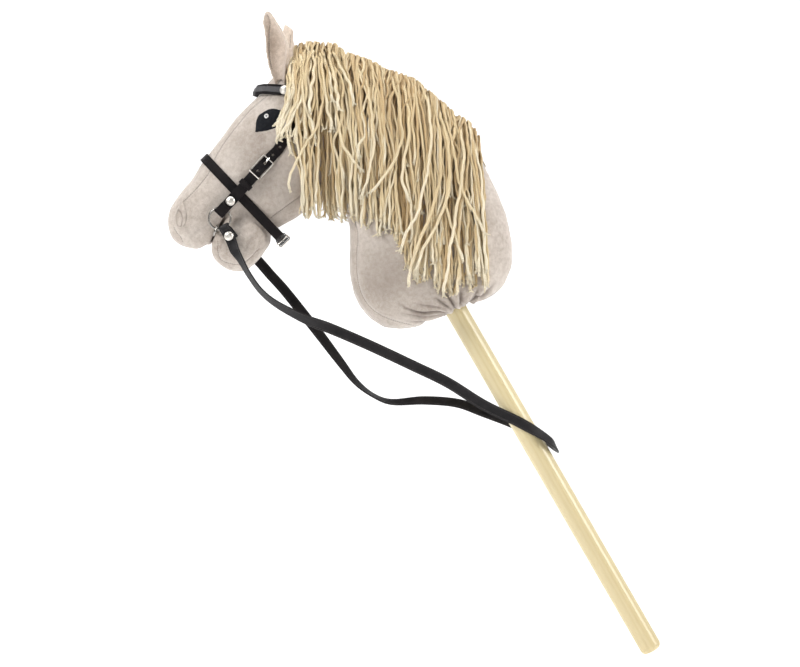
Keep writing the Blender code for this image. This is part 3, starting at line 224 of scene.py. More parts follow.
def rest_of(tree, value, clamp=False):
    """What is left of 1 after this value."""
    return maths(tree, "SUBTRACT", 1.0, value, clamp=clamp)


def tinted(shade, tint):
    return tuple(np.multiply(shade, tint).tolist())


def beat_of(tree, run, pitch, share):
    """1 along this share of each stitch's pitch."""
    beat = maths(tree, "FRACT", maths(tree, "DIVIDE", run, pitch))
    return maths(tree, "LESS_THAN", beat, share)


def seam_masks(tree, name, length, pitch):
    """Where a sewn seam's line and its stitches are, from the piece's own seam attribute."""
    across, run, _ = parts_of(tree, attribute(tree, name, "Vector"))
    away = maths(tree, "ABSOLUTE", across)
    after = maths(tree, "GREATER_THAN", run, 0.0)
    before = maths(tree, "LESS_THAN", run, length)
    line = rest_of(tree, maths(tree, "DIVIDE", away, SEAM_REACH), True)
    line = product(tree, line, product(tree, after, before))
    return line, product(tree, line, beat_of(tree, run, pitch, 0.5))


def velour_material(name, seams=(), tint=(1.0, 1.0, 1.0)):
    """Short-pile greige velour: nap patches, fine pile, the dimples of its seams, and painted shade in its
    creases, along its seams and at noted spots.
    """
    material, tree = new_material(
        name, Roughness=0.95, Sheen_Weight=0.5, Sheen_Roughness=0.4, Sheen_Tint=(1.0, 0.97, 0.95, 1),
        Specular_IOR_Level=0.2
    )
    place = object_place(tree)
    patches = noise(tree, place, 26.0, 3.0)
    nap = noise(tree, place, 240.0, 2.0)
    pile = noise(tree, place, 1500.0, 1.0)
    shades = ((0.335, 0.28, 0.235), (0.51, 0.445, 0.39), (0.66, 0.60, 0.545))
    low, middle, high = (tinted(shade, tint) for shade in shades)
    colour = ramp(tree, patches, (0.32, low), (0.5, middle), (0.70, high))
    colour = blended(tree, 0.36, colour, ramp(tree, nap, (0.36, low), (0.64, high)))
    colour = blended(tree, 0.26, colour, ramp(tree, pile, (0.38, low), (0.62, high)))
    # Painted shade: darker at the noted spots of shade, and in creases by how deep in them each point lies.
    colour = blended(tree, attribute(tree, "painted_shade"), colour, tinted(low, 0.8))
    colour = blended(tree, product(tree, attribute(tree, "fold"), 0.75), colour, (0.13, 0.10, 0.085))
    layers = [(patches, 0.0012), (nap, 0.0006), (pile, 0.0003)]
    for seam, length, pitch in seams:
        line, stitch = seam_masks(tree, seam, length, pitch)
        # Painted shade along each seam's line, darker still at its stitches.
        colour = blended(tree, product(tree, line, 0.30), colour, (0.20, 0.165, 0.14))
        colour = blended(tree, product(tree, stitch, 0.55), colour, (0.14, 0.115, 0.10))
        layers.append((rest_of(tree, line), 0.0006))
    return painted(material, colour, *layers)


def yarn_material():
    """Cream yarn of three plies. UV runs round the strand and along it in centimetres."""
    material, tree = new_material(
        "cream_yarn", Roughness=0.9, Sheen_Weight=0.25, Sheen_Roughness=0.4, Specular_IOR_Level=0.25
    )
    around, along, _ = parts_of(tree, uv_of(tree))
    turns = maths(tree, "MULTIPLY_ADD", along, 1.15, around)
    wave = maths(tree, "SINE", product(tree, turns, 2 * math.pi * 3))
    wave = maths(tree, "MULTIPLY_ADD", wave, 0.5, 0.5)
    fuzz = noise(tree, object_place(tree), 900.0, 2.0)
    # Each strand's own tone, with painted light and shade laid over it, read from its attribute.
    colour = ramp(
        tree, attribute(tree, "tone_and_shade"), (0.0, (0.36, 0.205, 0.07)), (0.35, (0.565, 0.39, 0.18)),
        (0.7, (0.79, 0.645, 0.385)), (1.0, (0.96, 0.885, 0.69))
    )
    # Painted shade in the grooves between the plies.
    ply_groove_shade = product(tree, rest_of(tree, wave), 0.3)
    colour = blended(tree, ply_groove_shade, colour, (0.62, 0.44, 0.24), "MULTIPLY")
    fuzzy = ramp(tree, fuzz, (0.3, (0.5, 0.36, 0.19)), (0.7, (0.97, 0.90, 0.72)))
    return painted(material, blended(tree, 0.15, colour, fuzzy), (wave, 0.0007), (fuzz, 0.0004))


def leather_material(name="bridle_leather", painted_sheen=False):
    """Black bridle leather: a fine grain, a soft shine, and, for padded leather, a painted grey sheen along
    the padded middle.
    """
    material, tree = new_material(name, Roughness=0.5, Specular_IOR_Level=0.12)
    place = object_place(tree)
    cells = node(tree, "ShaderNodeTexVoronoi", Scale=1100.0, feature="DISTANCE_TO_EDGE")
    link(tree, place, cells.inputs["Vector"])
    grain = maths(tree, "MULTIPLY", cells.outputs["Distance"], 3.0, clamp=True)
    clouds = noise(tree, place, 90.0, 4.0)
    colour = ramp(tree, clouds, (0.3, (0.0034, 0.0026, 0.003)), (0.7, (0.0090, 0.0062, 0.0066)))
    if painted_sheen:
        # Painted sheen: grey along the padded middle.
        colour = blended(tree, attribute(tree, "pad"), colour, (0.085, 0.083, 0.086))
    roughness = maths(tree, "MULTIPLY_ADD", clouds, 0.3, 0.3)
    return painted(material, colour, (clouds, 0.0006), (grain, 0.00015), roughness=roughness)


def rein_material():
    """The same leather along the reins, with a creased line and sewing near both edges, from the UV."""
    material, tree = new_material("rein_leather", Roughness=0.5, Specular_IOR_Level=0.3)
    across, run, _ = parts_of(tree, uv_of(tree))
    place = object_place(tree)
    clouds = noise(tree, place, 90.0, 4.0)
    grain = noise(tree, place, 1300.0, 1.0)
    from_line = maths(tree, "SUBTRACT", maths(tree, "ABSOLUTE", across), REIN_SEWING)
    line = maths(tree, "DIVIDE", maths(tree, "ABSOLUTE", from_line), REIN_CREASE)
    line = rest_of(tree, line, True)
    thread = product(tree, line, beat_of(tree, run, REIN_PITCH, 0.68))
    colour = ramp(tree, clouds, (0.3, (0.0045, 0.004, 0.0045)), (0.7, (0.012, 0.010, 0.011)))
    colour = blended(tree, product(tree, thread, 0.5), colour, (0.075, 0.065, 0.06))
    layers = [(clouds, 0.0005), (grain, 0.0001), (rest_of(tree, line), 0.0004)]
    return painted(material, colour, *layers, roughness=maths(tree, "MULTIPLY_ADD", clouds, 0.3, 0.3))


def nickel_material(name="polished_nickel", roughness=0.16, shaded_spots=(), share=1.0):
    """Nickel plate of this share of its full brightness, with a little haze, and a painted shadow within 3 mm
    of the shaded spots."""
    material, tree = new_material(name, Roughness=0.2, Metallic=1.0)
    place = object_place(tree)
    haze = noise(tree, place, 160.0, 4.0)
    low, high = tinted((0.64, 0.60, 0.54), share), tinted((0.82, 0.79, 0.74), share)
    colour = ramp(tree, haze, (0.3, low), (0.7, high))
    # Painted shadow near each of these spots.
    for middle in shaded_spots:
        away = node(tree, "ShaderNodeVectorMath", operation="DISTANCE")
        link(tree, place, away.inputs[0])
        away.inputs[1].default_value = middle
        close = maths(tree, "LESS_THAN", away.outputs["Value"], 0.003)
        colour = blended(tree, close, colour, (0.02, 0.018, 0.017))
    roughness = maths(tree, "MULTIPLY_ADD", haze, 0.2, roughness)
    return painted(material, colour, (noise(tree, place, 700.0, 2.0), 0.00003), roughness=roughness)


def pine_material():
    """Pale lacquered pine, its grain along the stick."""
    material, tree = new_material("lacquered_pine", Roughness=0.36, Coat_Weight=0.35, Coat_Roughness=0.22)
    place = object_place(tree, (0, -STICK_LEAN, 0), (1.0, 1.0, 30.0))
    warp = noise(tree, place, 40.0, 2.0)
    bands = node(tree, "ShaderNodeTexWave", Scale=46.0, Distortion=5.0, Detail=3.0, bands_direction="X")
    bands.inputs["Detail Scale"].default_value = 1.4
    link(tree, place, bands.inputs["Vector"])
    fibre = noise(tree, object_place(tree, (0, -STICK_LEAN, 0), (1.0, 1.0, 60.0)), 900.0, 3.0)
    stripes = bands.outputs["Fac"]
    colour = ramp(
        tree, stripes, (0.0, (0.69, 0.60, 0.36)), (0.6, (0.67, 0.575, 0.34)), (1.0, (0.62, 0.515, 0.285))
    )
    colour = blended(tree, product(tree, fibre, 0.14), colour, (0.56, 0.45, 0.23))
    colour = blended(tree, product(tree, warp, 0.3), colour, (0.74, 0.66, 0.42))
    # Darker towards the bottom of the stick.
    height = parts_of(tree, object_place(tree))[2]
    darker_below = maths(tree, "MULTIPLY_ADD", height, -0.9, 0.62, clamp=True)
    colour = blended(tree, darker_below, colour, (0.42, 0.33, 0.17))
    return painted(material, colour, (fibre, 0.00008), (stripes, 0.00006))


def felt_material():
    """Dense near-black felt of matted fibres, with a trace of blue."""
    material, tree = new_material("eye_felt", Roughness=1.0, Sheen_Weight=0.2, Specular_IOR_Level=0.15)
    place = object_place(tree)
    fibres = noise(tree, place, 1400.0, 3.0, 0.7)
    matted = noise(tree, place, 220.0, 3.0)
    colour = ramp(tree, fibres, (0.3, (0.002, 0.0024, 0.0034)), (0.7, (0.008, 0.0095, 0.013)))
    colour = blended(tree, product(tree, matted, 0.35), colour, (0.010, 0.012, 0.017))
    return painted(material, colour, (matted, 0.0004), (fibres, 0.0005))


def cloth_material(name, low, high, scale=700.0):
    """Plain woven or twisted cloth: tape, cord and thread."""
    material, tree = new_material(name, Roughness=0.95)
    fibres = noise(tree, object_place(tree), scale, 3.0)
    return painted(material, ramp(tree, fibres, (0.3, low), (0.7, high)), (fibres, 0.0004))


leather = leather_material()
padded_leather = leather_material("padded_leather", True)
nickel = nickel_material()
stud_nickel = nickel_material("satin_nickel", 0.28)
wire_nickel = nickel_material("bit_nickel", 0.14, (), 0.43)
yarn = yarn_material()
felt = felt_material()
thread_white = cloth_material("white_thread", (0.66, 0.65, 0.62), (0.95, 0.94, 0.92), 1500.0)
thread_grey = cloth_material("grey_thread", (0.16, 0.16, 0.17), (0.32, 0.32, 0.33), 1500.0)
thread_black = cloth_material("black_thread", (0.05, 0.048, 0.048), (0.14, 0.13, 0.13), 1500.0)


# Working on meshes


def deselect():
    bpy.ops.object.select_all(action="DESELECT")


def pick(piece):
    deselect()
    piece.select_set(True)
    bpy.context.view_layer.objects.active = piece


def finish_with(piece, kind, **settings):
    """Adds a modifier and applies it at once."""
    pick(piece)
    modifier = piece.modifiers.new(kind.title(), kind)
    for name, value in settings.items():
        setattr(modifier, name, value)
    bpy.ops.object.modifier_apply(modifier=modifier.name)


def over_all(operator, **settings):
    """Runs an operator of edit mode on all of the picked piece."""
    bpy.ops.object.mode_set(mode="EDIT")
    bpy.ops.mesh.select_all(action="SELECT")
    operator(**settings)
    bpy.ops.object.mode_set(mode="OBJECT")


def copy_of(name, *sources):
    """One new piece from copies of CAD nodes, with their loose triangles merged."""
    copies = [placed(name, nodes[source].data.copy()) for source in sources]
    deselect()
    for copy in copies:
        copy.select_set(True)
    piece = bpy.context.view_layer.objects.active = copies[0]
    if len(copies) > 1:
        bpy.ops.object.join()
    bpy.ops.mesh.customdata_custom_splitnormals_clear()
    over_all(bpy.ops.mesh.remove_doubles, threshold=0.00002)
    piece.name = name
    return piece


def remeshed(name, source, voxel, smoothing):
    """A copy of a CAD node in even faces, with softened edges."""
    piece = copy_of(name, source)
    finish_with(piece, "REMESH", mode="VOXEL", voxel_size=voxel, use_smooth_shade=True)
    finish_with(piece, "SMOOTH", factor=0.5, iterations=smoothing)
    return piece


def rows_of(values, name):
    found = np.empty(len(values) * 3)
    values.foreach_get(name, found)
    return found.reshape(-1, 3)


def points_of(piece):
    return rows_of(piece.data.vertices, "co")


def normals_of(piece):
    return rows_of(piece.data.vertex_normals, "vector")


def set_points(piece, points):
    piece.data.vertices.foreach_set("co", np.asarray(points, np.float32).ravel())
    piece.data.update()


def push(piece, move, points=None):
    """Moves the points along their normals by these distances, from where they are or from new places."""
    start = points_of(piece) if points is None else points
    set_points(piece, start + normals_of(piece) * np.asarray(move)[..., None])


def away_from(points, x, y, depth=-45.0):
    """How far each point lies from a pixel's place, seen from the side, in metres."""
    x, z = spot(x, y, depth)
    return np.hypot(points[:, 0] - x, points[:, 2] - z)


def bell(distance, reach):
    return np.exp(-((distance / reach) ** 2))


def note(piece, name, values):
    """Gives each point a number, which a material reads as this attribute."""
    layer = piece.data.attributes.new(name, "FLOAT", "POINT")
    layer.data.foreach_set("value", np.asarray(values, np.float32))


def dress(piece, material):
    piece.data.materials.clear()
    piece.data.materials.append(material)
    piece.data.polygons.foreach_set("material_index", [0] * len(piece.data.polygons))


def settle(piece, body, slot, *replaced):
    """Says which body a new piece rides, and which CAD nodes it stands for, which it hides. The slot, what
    the piece is made of, is not used.
    """
    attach(piece, body)
    if replaced:
        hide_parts(*replaced)


def complete(piece, material, body, slot, *replaced):
    """Dresses and settles a new piece that is smooth all over."""
    dress(piece, material)
    piece.data.shade_smooth()
    settle(piece, body, slot, *replaced)


def run_of(rows):
    """How far along them each of the rows lies."""
    return np.concatenate([[0], np.cumsum(np.linalg.norm(np.diff(rows, axis=0), axis=1))])


def smoothed(rows, count):
    """That many rows, evenly along the smooth curve through the given ones."""
    rows = np.array(rows, float)
    padded = np.vstack([2 * rows[0] - rows[1], rows, 2 * rows[-1] - rows[-2]])
    dense = []
    for place in np.linspace(0, len(rows) - 1, 24 * len(rows)):
        first = min(int(place), len(rows) - 2)
        t = place - first
        a, b, c, d = padded[first : first + 4]
        curve = (2 * a - 5 * b + 4 * c - d) * t * t + (3 * b - a - 3 * c + d) * t**3
        dense.append(0.5 * (2 * b + (c - a) * t + curve))
    dense = np.array(dense)
    run = run_of(dense[:, :3])
    places = np.linspace(0, run[-1], count)
    return np.stack([np.interp(places, run, column) for column in dense.T], axis=1)


def mesh_piece(name, points, faces, material, uvs=None):
    mesh = bpy.data.meshes.new(name)
    mesh.from_pydata([tuple(point) for point in points], [], faces)
    if uvs is not None:
        layer = mesh.uv_layers.new(name="UVMap")
        layer.data.foreach_set("uv", np.asarray(uvs, np.float32).ravel())
    mesh.shade_smooth()
    mesh.materials.append(material)
    return placed(name, mesh)


def tube_faces(start, sides, runs, across):
    """The quads between rings of points, and their UVs: across at each corner, and the run of each ring."""
    faces, uvs = [], []
    for ring in range(len(runs) - 1):
        here, following = start + ring * sides, start + (ring + 1) * sides
        for corner in range(sides):
            beside = (corner + 1) % sides
            u, next_u = across[corner], across[corner + 1]
            faces.append((here + corner, here + beside, following + beside, following + corner))
            uvs += [(u, runs[ring]), (next_u, runs[ring]), (next_u, runs[ring + 1]), (u, runs[ring + 1])]
    return faces, uvs


def tree_of(*pieces):
    """One ray tree over several pieces."""
    points, faces = [], []
    for piece in pieces:
        start = len(points)
        points += [vertex.co.copy() for vertex in piece.data.vertices]
        faces += [tuple(start + index for index in face.vertices) for face in piece.data.polygons]
    return BVHTree.FromPolygons(points, faces)


# The reins: one strap from the near ring, round the stick, to the far ring. The middle of the leather,
# in millimetres, and the way that its outer face looks, at the near fold.

FOLD_IN, FOLD_OUT = (0.05, 0.997, 0.054), (-0.05, -0.997, -0.054)
REIN_FOLD = [
    ((-473.39, -39.70, 466.34), FOLD_IN), ((-480.19, -40.06, 475.51), FOLD_IN),
    ((-482.99, -40.21, 477.75), FOLD_IN), ((-483.95, -40.27, 479.62), FOLD_IN),
    ((-484.82, -41.07, 481.21), (-0.286, 0.687, 0.668)), ((-485.26, -42.92, 481.79), (-0.455, -0.025, 0.89)),
    ((-485.00, -44.74, 481.01), (-0.357, -0.723, 0.591)), ((-484.21, -45.45, 479.34), FOLD_OUT),
    ((-483.25, -45.40, 477.47), FOLD_OUT), ((-481.59, -42.22, 474.70), FOLD_OUT),
    ((-476.04, -41.91, 463.84), FOLD_OUT),
]
# The free part: x, y and z of the middle in millimetres, and how far it is twisted in degrees
REIN_ROUTE = [
    (-472.5, -44.5, 454, 20), (-465.5, -47.5, 443, 52), (-456, -48, 426, 62), (-442, -45, 407, 61),
    (-423, -42, 392, 52), (-392, -38, 376, 30), (-365, -34, 366, 0), (-321, -28, 347, 0),
    (-272, -22, 324, 0), (-233, -18, 305, 0), (-193, -15, 280, 0), (-154, -13.9, 261, 0),
    (-134, -13.9, 250, 0), (-119, -12, 240.5, 0), (-111.5, -6.5, 234, 0), (-109.5, 0, 230, 0),
    (-111.5, 6.5, 231, 0), (-120, 12, 238, 0), (-136, 13.9, 247.5, 0), (-160, 14, 259, 0),
    (-192, 15, 271, 15), (-222, 18, 281, 35), (-260, 22, 284, 40), (-296, 27, 282, 60),
    (-317, 30, 289, 72), (-337, 33, 304, 60), (-356, 36, 328, 40), (-378, 39, 357, 25),
    (-400, 42, 385, 20), (-421, 45, 411, 20), (-436.5, 47, 428, 20), (-452, 47.5, 445.5, 20),
    (-465.5, 46, 456, 10),
]
REIN_TURN_X = -0.150  # right of here the leather looks away from the stick
REIN_WIDTH, REIN_THICK = 0.012, 0.0018
REIN_LINE = 0.72  # where its sewn line runs, as a share of half its width


def way_at(places, index):
    """The way along a line at one of its places."""
    return (places[min(index + 1, len(places) - 1)] - places[max(index - 1, 0)]).normalized()


def square_to(forward, out):
    return (out - forward * out.dot(forward)).normalized()


def rein_route():
    """The middle line of the reins, and the way the leather looks along it, in metres."""
    fold = [(Vector(place) * MM, Vector(way)) for place, way in REIN_FOLD]
    free = []
    route = smoothed(REIN_ROUTE, 150)
    centres = [Vector(row[:3]) * MM for row in route]
    for index, centre in enumerate(centres):
        forward = way_at(centres, index)
        from_stick = centre - UP_STICK * centre.dot(UP_STICK)
        level = Vector((0, math.copysign(1, centre.y), 0))
        out = from_stick.normalized() if centre.x > REIN_TURN_X else level
        twist = Matrix.Rotation(math.radians(route[index][3]), 3, forward)
        free.append((centre, twist @ square_to(forward, out)))
    other = [(Vector((p.x, -p.y, p.z)), Vector((w.x, -w.y, w.z))) for p, w in reversed(fold)]
    return fold + free + other


def add_reins():
    route = rein_route()
    half, thick, edge = REIN_WIDTH / 2, REIN_THICK / 2, 0.0005
    level = (edge - half, -half * REIN_LINE, 0, half * REIN_LINE, half - edge)
    under = [(-half, edge - thick), *((across, -thick) for across in level), (half, edge - thick)]
    profile = under + [(-across, -rise) for across, rise in under]
    sides = len(profile)
    centres = [centre for centre, _ in route]
    points, runs, run = [], [], 0.0
    for index, (centre, out) in enumerate(route):
        forward = way_at(centres, index)
        out = square_to(forward, out)
        side = out.cross(forward)
        if index:
            run += (centre - centres[index - 1]).length
        runs.append(run)
        points += [centre + side * across + out * rise for across, rise in profile]
    faces, uvs = tube_faces(0, sides, runs, [across for across, _ in (*profile, profile[0])])
    end = (len(route) - 1) * sides
    faces += [tuple(range(sides)), tuple(reversed(range(end, end + sides)))]
    uvs += [(across, 0) for across, _ in profile] + [(across, run) for across, _ in reversed(profile)]
    strap = mesh_piece("leather_reins", points, faces, rein_material(), uvs)
    pick(strap)
    over_all(bpy.ops.mesh.normals_make_consistent, inside=False)
    bpy.ops.object.shade_smooth_by_angle(angle=math.radians(35))
    settle(strap, "horse", "leather", "reins")


add_reins()


# The velour cover of the head and neck. Seams and creases are given by pixels of the photograph.

SEAMS = {
    "nose_seam": [
        (181, 241), (178.5, 236), (174, 231.5), (171.5, 225), (171.8, 218), (174.3, 211.5), (177.5, 205),
        (183, 199.5), (196, 187), (209, 170), (216, 152), (228, 134), (239, 120), (250, 107), (262, 97),
        (276, 88),
    ],
    "throat_seam": [(270, 217), (283, 208), (298, 197), (312, 187), (328, 178)],
    "neck_seam": [
        (352, 215), (357, 232), (356, 252), (356, 270), (359, 288), (366, 303), (378, 314), (397, 322),
        (424, 327),
    ],
    "jaw_seam": [(217, 240), (216, 251), (219, 259), (227, 263), (238, 264), (249, 258), (258, 248)],
}
# Each crease is a line, its depth and its width in millimetres; painted shade darkens the cover in it. First
# the mouth's slit and the soft folds of the nose, jaw and cheek, then those of the gathered hem.
FOLDS = [
    ([(209, 242), (213.5, 232), (218.5, 225), (223, 218), (228, 210), (232, 204)], 6.0, 1.5),
    ([(203, 226.7), (195.7, 231), (190.6, 235), (185.5, 239)], 0.5, 1.6),
    ([(184.5, 226.7), (187.5, 230.5), (190.6, 234.4)], 0.6, 1.4),
    ([(222, 239), (219.5, 246), (217.5, 254)], 1.0, 1.8),
    ([(251, 237), (247.5, 244), (244.7, 252)], 0.9, 2.2),
    ([(255.5, 222), (262.5, 229), (269.5, 236)], 0.7, 1.4),
    ([(271, 95), (270.2, 97.5), (268, 101)], 0.6, 1.4),
]
GATHERS = [
    ([(456, 309), (451, 301), (445, 292.5), (440, 287)], 2.6, 2.2),
    ([(461.5, 305), (461, 296), (460.5, 287)], 2.2, 2.0),
    ([(467, 305), (472, 299), (477, 292), (481, 284)], 1.8, 2.4),
    ([(470, 304), (476, 297), (482, 297), (490, 289), (497, 280)], 2.4, 2.0),
    ([(447, 312.5), (436, 312), (422, 313), (408, 309), (395, 300)], 2.0, 1.5),
    ([(447, 314), (436, 316), (426, 317.5), (412, 315.5), (398, 312)], 1.4, 1.3),
    ([(452, 310), (446, 306), (438, 300), (430, 296)], 1.5, 1.6),
    ([(446, 310), (436, 307), (426, 306), (412, 303)], 1.0, 1.3),
    ([(448, 316), (440, 319), (430, 322), (415, 322), (402, 320)], 1.6, 1.5),
    ([(474, 304), (484, 302), (494, 296), (503, 286)], 1.6, 2.4),
]
# Painted shade on the cover: a pixel, how far it reaches in millimetres, and how much
PAINTED_SHADE_SPOTS = [((275, 190), 34, 0.45), ((246, 150), 24, 0.40), ((385, 275), 44, 0.56), ((440, 290), 34, 0.22)]


def to_line(points, line):
    """For each (x, z) point: its signed distance to a line of points, and how far along it is."""
    line = np.array(line)
    best = np.full(len(points), 1e9)
    across, run = np.zeros(len(points)), np.zeros(len(points))
    travelled = 0.0
    for index in range(len(line) - 1):
        start, way = line[index], line[index + 1] - line[index]
        length = np.linalg.norm(way)
        way = way / length
        offset = points - start
        along = offset @ way
        low = -1e9 if index == 0 else 0.0
        high = 1e9 if index == len(line) - 2 else length
        held = np.clip(along, low, high)
        gap = offset - held[:, None] * way
        away = np.linalg.norm(gap, axis=1)
        sign = np.sign(offset[:, 0] * way[1] - offset[:, 1] * way[0])
        nearer = away < best
        best[nearer] = away[nearer]
        across[nearer] = (away * sign)[nearer]
        run[nearer] = (travelled + held)[nearer]
        travelled += length
    return across, run, travelled


def flat_line(pixels, count=40):
    return smoothed([photo(x, y) for x, y in pixels], count) * MM


def sew(piece, name, pixels, depth, width=2.4, pitch=0.0026):
    """Presses a seam's valley into the cover, and notes for its material where the seam runs."""
    points = points_of(piece)
    across, run, length = to_line(points[:, [0, 2]], flat_line(pixels))
    ends = np.clip(np.minimum(run, length - run) / 0.004, 0, 1)
    near = bell(across, width * MM) * ends
    ridge = bell(np.abs(across) - 2.2 * width * MM, 1.6 * width * MM) * ends
    pucker = 0.25 * np.sin(run / pitch * math.pi) * bell(across, 0.005) * ends
    side = np.clip(np.abs(normals_of(piece)[:, 1]) * 2.5, 0, 1)
    push(piece, (-depth * near + 0.25 * depth * ridge + 0.3 * pucker) * MM * side)
    vectors = np.stack([across, run, np.zeros(len(run))], axis=1)
    layer = piece.data.attributes.new(name, "FLOAT_VECTOR", "POINT")
    layer.data.foreach_set("vector", vectors.astype(np.float32).ravel())
    return name, length, pitch


def crease(piece, pixels, depth, width, round_edge=False):
    """Presses a soft crease that fades towards its second end. Returns how deep in it each point lies."""
    points = points_of(piece)
    across, run, length = to_line(points[:, [0, 2]], flat_line(pixels, 24))
    share = np.clip(run / length, 0, 1)
    inside = np.clip((run + 0.004) / 0.004, 0, 1) * np.clip((length - run) / (0.4 * length), 0, 1)
    valley = bell(across, width * MM)
    lip = 0.4 * depth * bell(np.abs(across) - 2.4 * width * MM, 1.5 * width * MM)
    side = 1 if round_edge else np.clip(np.abs(normals_of(piece)[:, 1]) * 2, 0, 1)
    push(piece, (lip - depth * valley) * inside * (1 - 0.4 * share) * side * MM)
    return valley * inside * side * min(1, depth / 2.5)


def soft_noise(points, scale, seed):
    """A smooth random field from a few waves, the same each run."""
    dice = random.Random(seed)
    field = np.zeros(len(points))
    for _ in range(14):
        way = np.array([dice.gauss(0, 1) for _ in range(3)])
        way *= (0.6 + 0.8 * dice.random()) / np.linalg.norm(way)
        field += np.sin(points @ way * 2 * math.pi / scale + dice.random() * 6.3)
    return field / 14**0.5


CLOTH_FRAMES = 20


def stuff(piece, cap, voxel):
    """Puffs a cover out over its filling: the cloth is let out under pressure, and held near its form."""
    finish_with(piece, "REMESH", mode="VOXEL", voxel_size=voxel, use_smooth_shade=True)
    start = points_of(piece)
    pick(piece)
    cloth = piece.modifiers.new("Cloth", "CLOTH")
    cloth.settings.use_pressure = True
    cloth.settings.uniform_pressure_force = 4.0
    cloth.settings.effector_weights.gravity = 0.0
    cloth.settings.quality = 5
    cloth.point_cache.frame_start, cloth.point_cache.frame_end = 1, CLOTH_FRAMES
    for step in range(1, CLOTH_FRAMES + 1):
        bpy.context.scene.frame_set(step)
    bpy.ops.object.modifier_apply(modifier=cloth.name)
    bpy.context.scene.frame_set(1)
    moved = points_of(piece) - start
    length = np.linalg.norm(moved, axis=1, keepdims=True)
    set_points(piece, start + moved * np.minimum(1, cap / np.maximum(length, 1e-9)))
    finish_with(piece, "SMOOTH", factor=0.5, iterations=3)
    finish_with(piece, "SUBSURF", levels=1, render_levels=1)


HEM = 0.447  # how far up the stick the cover is gathered
# Where the upper back and the forehead are flatter than the sewn form, and where the cover bulges behind
# the hem: a pixel, how far it reaches in metres, and the move in millimetres
FLATTER = [((490, 130), 0.035, -4.8), ((256, 93), 0.020, -2.4)]
FULLER = [((488, 293), 0.019, 3.2)]
PUFF, COVER_VOXEL = 0.0012, 0.0036  # how far the filling may puff the cover out, and its first mesh's size
# In millimetres: the cover's broad and small lumps, its fuller neck, and how much fuller its nose is below
# each of the heights
BROAD_LUMPS, SMALL_LUMPS, FULLER_NECK, FULLER_NOSE, NOSE_HEIGHTS = 0.55, 0.22, 3.0, 1.3, (0.50, 0.60)
COVERED = [f"{part}_{layer}" for part in ("head", "neck", "jaw") for layer in ("casing", "stuffing")]


def blend_jaw(cover):
    """Eases the jaw's pouch into the cheek behind the mouth."""
    head, jaw = tree_of(nodes["head_casing"]), tree_of(nodes["jaw_casing"])
    start, end = spot(226, 0)[0], spot(236, 0)[0]
    group = cover.vertex_groups.new(name="jaw_join")
    for vertex in cover.data.vertices:
        behind = min(1, max(0, (vertex.co.x - start) / (end - start)))
        if behind and vertex.co.z < 0.52:
            away = max(tree.find_nearest(vertex.co)[3] for tree in (head, jaw))
            weight = behind * min(1, max(0, 1.6 - away / 0.008))
            if weight:
                group.add([vertex.index], weight, "REPLACE")
    finish_with(cover, "SMOOTH", factor=0.5, iterations=60, vertex_group="jaw_join")


def add_cover():
    cover = copy_of("velour_cover", *COVERED)
    stuff(cover, PUFF, COVER_VOXEL)
    blend_jaw(cover)
    points = points_of(cover)
    from_hem = np.linalg.norm(points - np.array(UP_STICK * HEM), axis=1)
    lumps = BROAD_LUMPS * soft_noise(points, 0.075, 3) + SMALL_LUMPS * soft_noise(points, 0.026, 4)
    lumps += FULLER_NECK * np.clip((points[:, 0] + 0.345) / 0.04, 0, 1)
    for pixel, reach, move in FLATTER:
        lumps += move * bell(away_from(points, *pixel, 0), reach)
    lumps *= np.clip(from_hem / 0.05, 0, 1)
    for pixel, reach, move in FULLER:
        lumps += move * bell(away_from(points, *pixel, 0), reach)
    nose = np.clip((-0.44 - points[:, 0]) / 0.02, 0, 1)
    lumps += FULLER_NOSE * nose * sum(np.clip((top - points[:, 2]) / 0.03, 0, 1) for top in NOSE_HEIGHTS)
    push(cover, lumps * MM)
    seams = [sew(cover, name, line, depth=1.1) for name, line in SEAMS.items()]
    crease_shades = [crease(cover, line, 1.5 * depth, 0.9 * width, True) for line, depth, width in GATHERS]
    crease_shades += [crease(cover, line, depth, width, depth > 3) for line, depth, width in FOLDS]
    # Painted shade in the creases, by how deep in them each point lies.
    note(cover, "fold", np.clip(np.max(crease_shades, axis=0), 0, 1))
    # Painted shade at the given spots, which the material darkens.
    painted_shade = [depth * bell(away_from(points, *pixel) / MM, reach) for pixel, reach, depth in PAINTED_SHADE_SPOTS]
    note(cover, "painted_shade", np.max(painted_shade, axis=0))
    complete(cover, velour_material("greige_velour", seams), "horse", "velour", *COVERED)
    return cover


cover = add_cover()


EAR_SEAMS = {
    "near": [(266.8, 14), (269, 18), (269.8, 23), (268.9, 31), (268.6, 43), (269.3, 57), (271.5, 68)],
    "far": [(287.5, 27.5), (287.8, 33), (287.3, 41)],
}
# Where an ear's outline is fuller or slimmer: a pixel, how far that reaches, and the move, in millimetres
EAR_SHAPE = {"near": [((264, 22), 6, -1.8)], "far": [((290, 31), 6, 3.0), ((298, 44), 8, -3.0)]}


def add_ear(side):
    ear = remeshed(f"{side}_ear_cover", f"{side}_ear", 0.0011, 6)
    points = points_of(ear)
    points += normals_of(ear) * (soft_noise(points, 0.016, 7) * 0.18 * MM)[:, None]
    for pixel, reach, move in EAR_SHAPE[side]:
        away = away_from(points, *pixel, -45 if side == "near" else 45)
        points[:, 0] += move * MM * bell(away / MM, reach)
    # Painted shadow of the mane on the near ear's lower back.
    if side == "near":
        x, z = spot(285, 68)
        note(ear, "fold", 0.4 * bell(points[:, 0] - x, 0.004) * bell(points[:, 2] - z, 0.018))
    set_points(ear, points)
    seams = [sew(ear, f"{side}_ear_seam", EAR_SEAMS[side], depth=0.6, width=0.9, pitch=0.002)]
    # Its velour is lighter and pinker than the cover's: partly the ear's own tone, partly painted light.
    velour = velour_material(f"{side}_ear_velour", seams, (1.16, 1.10, 1.04))
    complete(ear, velour, "horse", "velour", f"{side}_ear")


